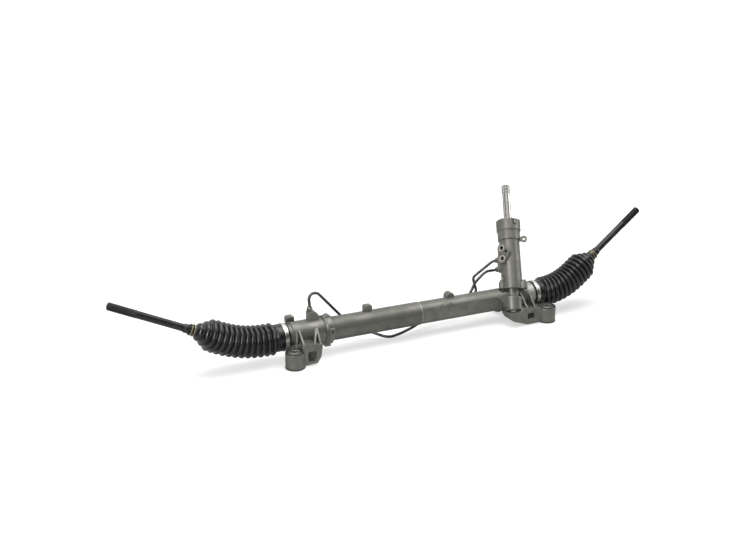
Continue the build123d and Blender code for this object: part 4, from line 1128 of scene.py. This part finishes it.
# ---- small added pieces
@dataclass
class Trim:
    """Small pieces that sit on the casing: bush rubbers, port seats, beads, marks, caps and webs.

    Outlines of turned pieces give the height along the axis and the radius of each corner, in
    millimetres: the bush flange and washer from the eye's top, the dark lip, which is rubber and
    also a painted contact shadow under the eye, from its foot, the port seat from the middle of the
    port. Webs give their name, the X and Z of their corners, and their front and back, also in
    millimetres. Caps give their name, middle and size in metres.
    """

    finishes: Finishes
    eye_top: float = 0.033
    flange: Outline = ((-3.0, 15.6), (0.0, 15.6), (0.4, 19.0), (1.2, 19.5), (2.0, 19.0), (2.3, 18.0),
                       (2.0, 16.9), (0.6, 16.3), (-0.6, 15.0), (-3.0, 15.0))
    washer: Outline = ((-2.2, 9.8), (0.6, 9.8), (0.9, 10.2), (0.4, 14.0), (-0.4, 14.9), (-2.2, 14.9))
    # dark rubber lip at the eye's foot, also a painted contact shadow there
    lip: Outline = ((2.4, 19.9), (2.3, 20.55), (1.4, 20.85), (0.2, 20.4), (-0.3, 19.0), (-0.3, 16.0),
                    (0.6, 16.0), (0.8, 19.0))
    seat: Outline = ((4.3, 5.0), (5.1, 5.0), (5.6, 5.4), (5.6, 6.7), (5.2, 7.2), (4.3, 7.2))
    bead: Outline = ((-0.9, 28.0), (-0.9, 30.7), (-0.4, 31.4), (0.4, 31.4), (0.9, 30.7), (0.9, 28.0))
    beads: tuple[float, float] = (0.0795, 0.0848)
    marks: tuple[float, float] = (0.3520, 0.3720)
    mark_radius: float = 0.0056
    mark_wire: float = 0.00045
    dot_radius: float = 0.0018
    bar_height: float = 0.0002
    arm_radius: float = 0.0242
    arm_flat: float = 0.0200
    caps: tuple[tuple[str, Spot, Spot], ...] = (
        ("tube_lug_cap", (0.185, 0.0535, 0.0775), (0.0176, 0.0136, 0.0184)),
        ("end_lug_cap", (0.0165, 0.0705, 0.0760), (0.0176, 0.0136, 0.0164)))
    cap_corner: float = 0.0042
    cap_edge: float = 0.0008
    webs: tuple[tuple[str, Outline, tuple[float, float]], ...] = (
        ("left_bracket_web", ((-1, 7), (43, 9), (49, 19), (52, 39), (20, 43), (-1, 27)), (26.0, 28.8)),
        ("right_bracket_web", ((530, 13.5), (546, 7), (601, 7), (601, 28), (574, 31), (540, 34)),
         (26.0, 28.8)),
        ("left_eye_web", ((-10, 5), (8, 5), (10, 42), (-2, 37), (-10, 31)), (18.5, 22.5)))

    def keep(self, piece: Piece, material: Optional[Material] = None, slot: str = "cast_aluminium") -> Piece:
        """Dresses a piece, as cast unless told otherwise, and lets it ride on the casing."""
        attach(dressed(piece, material or self.finishes.casting), "casing")
        return piece

    def bush(self, side: Side) -> list[Piece]:
        """Rubber flange and steel washer over one mounting bush, and a dark rubber lip under it that is also a
        painted contact shadow at the eye's foot.

        Args:
            side: The bush's end of the rack.

        Returns:
            The three pieces.
        """
        low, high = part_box(side.named("bush_sleeve"))
        foot, upward = Vector(((low.x + high.x) / 2, (low.y + high.y) / 2, 0.0)), Vector((0.0, 0.0, 1.0))
        rubber, steel = (self.finishes.bush, "bush_rubber"), (self.finishes.washer, "machined_steel")
        rings = (("flange", placed(self.flange, self.eye_top), rubber),
                 ("washer", placed(self.washer, self.eye_top), steel), ("lip", placed(self.lip), rubber))
        return [self.keep(lathe(side.named("bush_" + part), foot, upward, outline), *finish)
                for part, outline, finish in rings]

    def port(self, name: str) -> Piece:
        """Bright turned seat round one port.

        Args:
            name: The port's mount.

        Returns:
            The seat.
        """
        spot, axis = (Vector(MOUNTS[name][key]) for key in ("pos_m", "axis"))
        ring = lathe(name + "_seat", spot, axis.normalized(), placed(self.seat), 64)
        return self.keep(ring, self.finishes.ports, "machined_steel")

    def on_arm(self, along: float, up: float) -> Vector:
        """Point on the arm's skin.

        Args:
            along: X of the point.
            up: Distance over the arm's ridge, on its round side, or if negative down its flat.

        Returns:
            The point.
        """
        ridge = math.acos(self.arm_flat / self.arm_radius)
        angle = ridge + max(up, 0.0) / self.arm_radius
        front = self.arm_radius * math.cos(angle) if up > 0.0 else self.arm_flat
        return Vector((along, RACK_Y - front, RACK_Z + self.arm_radius * math.sin(angle) + min(up, 0.0)))

    def mark(self, number: int, along: float) -> list[Piece]:
        """Round casting mark with a bar or a dot in it, bent over the arm's ridge.

        Args:
            number: 0 for the mark with the bar, 1 for the one with the dot.
            along: X of its middle.

        Returns:
            Its pieces.
        """
        def circle(radius: float, steps: int) -> list[Vector]:
            """Points on a circle about the mark's middle."""
            turns = [2.0 * math.pi * step / steps for step in range(steps)]
            return [self.on_arm(along + radius * math.cos(turn), radius * math.sin(turn)) for turn in turns]

        pieces = [wire(f"cast_mark_{number}", circle(self.mark_radius, 48), self.mark_wire, closed=True)]
        if number == 0:
            bar = [self.on_arm(along + self.mark_radius * share, self.bar_height)
                   for share in (-0.55, -0.2, 0.2, 0.55)]
            pieces.append(wire("cast_mark_bar", bar, self.mark_wire))
        else:
            pieces.append(wire("cast_mark_dot", circle(self.dot_radius, 16), self.mark_wire, closed=True))
        return [self.keep(piece) for piece in pieces]

    def cap(self, name: str, middle: Spot, size: Spot) -> Piece:
        """Rounded block over one casting lug.

        Args:
            name: Name of the piece.
            middle: Its middle.
            size: Its size along X, Y and Z.

        Returns:
            The block.
        """
        work = bmesh.new()
        bmesh.ops.create_cube(work, size=1.0)
        bmesh.ops.scale(work, vec=size, verts=work.verts)
        bmesh.ops.translate(work, vec=middle, verts=work.verts)
        level = [edge for edge in work.edges if abs(edge.verts[0].co.y - edge.verts[1].co.y) > size[1] / 2]
        bmesh.ops.bevel(work, geom=level, offset=self.cap_corner, segments=6, profile=0.5, affect="EDGES")
        rims = [edge for edge in work.edges if edge.calc_face_angle(0.0) > 0.6]
        bmesh.ops.bevel(work, geom=rims, offset=self.cap_edge, segments=2, profile=0.5, affect="EDGES")
        piece = mesh_piece(name, [], [])
        work.to_mesh(piece.data)
        work.free()
        return self.keep(smoothed(piece, 40.0))

    def web(self, name: str, outline: Outline, depths: tuple[float, float]) -> Piece:
        """Upright plate across the casting.

        Args:
            name: Name of the piece.
            outline: X and Z of its corners, in millimetres.
            depths: Y of its front and back, in millimetres.

        Returns:
            The plate.
        """
        count = len(outline)
        points = [(x * MM, y * MM, z * MM) for y in depths for x, z in outline]
        faces = [tuple(range(count)), tuple(range(2 * count - 1, count - 1, -1))]
        faces += [(step, (step + 1) % count, count + (step + 1) % count, count + step)
                  for step in range(count)]
        return self.keep(faced_out(mesh_piece(name, points, faces)))

    def build(self) -> list[Piece]:
        """Makes every small piece.

        Returns:
            The pieces.
        """
        made = [piece for side in Side for piece in self.bush(side)]
        made += [self.port(name) for name in ("pressure_port", "return_port")]
        for number, along in enumerate(self.beads):
            centre, axis = Vector((along, RACK_Y, RACK_Z)), Vector((1.0, 0.0, 0.0))
            made.append(self.keep(lathe(f"flange_bead_{number}", centre, axis, placed(self.bead))))
        made += [piece for number, along in enumerate(self.marks) for piece in self.mark(number, along)]
        return made + [self.cap(*cap) for cap in self.caps] + [self.web(*web) for web in self.webs]


# ---- solids that keep their shape
@dataclass
class CarriedSolids:
    """Solids that are shown as they are, each with its finish."""

    finishes: Finishes

    def plan(self) -> dict[str, Material]:
        """The finish of each solid.

        Returns:
            Each solid's material, by the solid's name.
        """
        look = self.finishes
        groups = (
            (look.casting, "left_casting right_casting yoke_adjuster"),
            (look.tower, "valve_tower"),
            (look.tube, "main_tube"),
            (look.bright, "dust_cap input_shaft"),
            (look.line, "long_pipe short_pipe"),
            (look.nut, "tube_screws joint_bolts yoke_locknut pipe_nuts"),
            (look.bearing, "lower_bearing upper_bearing input_bearing"),
            (look.machined, "retaining_ring bottom_cap yoke_spring rack_bar rack_piston pinion valve_sleeve"),
            (look.machined, "torsion_bar left_ball_socket right_ball_socket"),
            (look.machined, "left_bush_sleeve right_bush_sleeve"),
            (look.bush, "left_bush_rubber right_bush_rubber"),
            (look.seal, "input_seal left_rack_seal right_rack_seal"),
            (look.seat, "rack_yoke left_ball_seat right_ball_seat"),
            (look.ring, "rack_piston_ring valve_rings"))
        return {name: material for material, names in groups for name in names.split()}

    def build(self) -> int:
        """Dresses the solids.

        Returns:
            How many were dressed.
        """
        plan = self.plan()
        for name, material in plan.items():
            solid = frame["nodes"][name]
            if not solid.material_slots:
                solid.data.materials.append(material)
            for slot in solid.material_slots:
                slot.material = material
        bare = [name for name, solid in frame["nodes"].items() if name not in plan and not solid.hide_render]
        if bare:
            log.warning("solids without a finish: %s", bare)
        return len(plan)


# ---- studio
@dataclass
class Lamp:
    """One soft rectangular lamp."""

    name: str
    place: Spot
    size: tuple[float, float]
    power: float
    tint: Colour = WHITE
    shadow: bool = True

    def build(self, aim: Spot) -> None:
        """Hangs the lamp and turns it to a point.

        Args:
            aim: The point.
        """
        light = bpy.data.lights.new(self.name, "AREA")
        light.shape = "RECTANGLE"
        light.size, light.size_y = self.size
        light.energy = self.power
        light.color = self.tint
        light.use_shadow = self.shadow
        lamp = new_object(self.name, light)
        lamp.location = self.place
        lamp.rotation_euler = (Vector(aim) - Vector(self.place)).to_track_quat("-Z", "Y").to_euler()


@dataclass
class Studio:
    """Pale floor, white surroundings, soft lamps and the camera."""

    aim: Spot = (0.1953, 0.0490, 0.1422)
    back: Spot = (-0.406, -0.850, 0.334)
    distance: float = 2.3325
    lens: float = 54.28
    ambient: float = 0.20
    floor_size: float = 60.0
    floor_gap: float = 0.0005
    floor_middle: Spot = (0.28, 0.05, 0.0)
    floor_tone: float = 0.62
    floor_glow: float = 0.40
    open_floor: tuple[float, float] = (0.45, 1.5)
    card_tone: float = 0.012
    card_radius: float = 2.9
    card_lift: float = 0.02
    card_height: float = 3.4
    card_spread: float = 85.0
    lamp_aim: Spot = (0.28, 0.05, 0.08)
    lamps: tuple[Lamp, ...] = (
        Lamp("overhead", (0.35, 0.16, 1.95), (2.4, 1.3), 42.0, (1.0, 0.99, 0.97)),
        Lamp("left_strip", (-1.35, -0.98, 1.1), (0.3, 1.3), 34.0, shadow=False),
        Lamp("right_strip", (1.9, -0.35, 0.9), (0.5, 1.1), 6.0, shadow=False))

    def world(self) -> None:
        """Soft surroundings, pure white to the camera, in gloss and through glass."""
        world = bpy.data.worlds.new("surroundings")
        bpy.context.scene.world = world
        world.use_nodes = True
        world.node_tree.nodes.clear()
        kit = NodeKit(world.node_tree)
        ray = kit.node("ShaderNodeLightPath").outputs
        camera, gloss, glass = (Term(kit, ray[f"Is {kind} Ray"])
                                for kind in ("Camera", "Glossy", "Transmission"))
        strength = self.ambient + (1.0 - self.ambient) * camera.most(gloss).most(glass)
        glow = kit.term("ShaderNodeBackground", None, {"Color": WHITE, "Strength": strength})
        kit.node("ShaderNodeOutputWorld", None, {"Surface": glow})

    def floor(self) -> None:
        """Wide pale floor that keeps the rack's soft shadow."""
        kit = ShaderKit("floor_paper")
        ray = kit.node("ShaderNodeLightPath").outputs
        seen = Term(kit, ray["Is Camera Ray"]).most(Term(kit, ray["Is Transmission Ray"]))
        matt = kit.term("ShaderNodeBsdfDiffuse", None, {"Color": (self.floor_tone,) * 3})
        offset = kit.vector("SUBTRACT", kit.place, self.floor_middle, "Vector")
        away = kit.vector("LENGTH", offset, None, "Value")
        strength = self.floor_glow + (1.0 - self.floor_glow) * away.ramp(*self.open_floor)
        glow = kit.term("ShaderNodeEmission", None, {"Color": WHITE, "Strength": seen * strength})
        kit.close(kit.term("ShaderNodeAddShader", None, {0: matt, 1: glow}))
        half, height = self.floor_size / 2, CAD_BOX[0].z - self.floor_gap
        corners = [(x, y, height) for x, y in ((-half, -half), (half, -half), (half, half), (-half, half))]
        floor = mesh_piece("floor", corners, [(0, 1, 2, 3)])
        floor.data.materials.append(kit.material)

    def card(self) -> None:
        """Curved black card behind the camera, seen only in gloss, that gives metal its dark line."""
        kit = ShaderKit("card_black")
        kit.close(kit.term("ShaderNodeBsdfDiffuse", None, {"Color": (self.card_tone,) * 3}))
        middle = math.atan2(self.back[1], self.back[0])
        turns = np.radians(np.linspace(-self.card_spread, self.card_spread, 25)) + middle
        centre, base, count = Vector(self.aim), CAD_BOX[0].z + self.card_lift, len(turns)
        points = [(centre.x + self.card_radius * math.cos(turn), centre.y + self.card_radius * math.sin(turn),
                   height) for height in (base, base + self.card_height) for turn in turns]
        faces = [(step, step + 1, count + step + 1, count + step) for step in range(count - 1)]
        card = mesh_piece("card", points, faces)
        card.data.materials.append(kit.material)
        card.visible_camera = card.visible_diffuse = card.visible_transmission = card.visible_shadow = False

    def camera(self) -> None:
        """Camera at the fixed viewing angle."""
        data = bpy.data.cameras.new("camera")
        data.lens, data.sensor_width = self.lens, 36.0
        data.clip_start, data.clip_end = 0.05, 200.0
        camera = new_object("camera", data)
        back = Vector(self.back).normalized()
        camera.location = Vector(self.aim) + back * self.distance
        camera.rotation_euler = (-back).to_track_quat("-Z", "Y").to_euler()
        bpy.context.scene.camera = camera

    def build(self) -> None:
        """Sets the whole studio up."""
        bpy.context.scene.view_settings.view_transform = "Standard"
        self.world()
        self.floor()
        self.card()
        self.camera()
        for lamp in self.lamps:
            lamp.build(self.lamp_aim)


def main() -> None:
    """Builds every piece in order and reports it."""
    logging.basicConfig(level=logging.INFO, format="%(message)s")
    finishes = Finishes()
    pieces: list[Piece] = []
    for side in Side:
        layout = SideLayout.read(side)
        pieces += Bellows(layout, finishes).build()
        pieces += [maker(layout, finishes).build() for maker in (TieRod, WireClip, BandClamp)]
    for piece in pieces + Trim(finishes).build():
        log.info("%s: %d faces", piece.name, len(piece.data.polygons))
    log.info("solids dressed: %d", CarriedSolids(finishes).build())
    Studio().build()


if __name__ == "__main__":
    main()
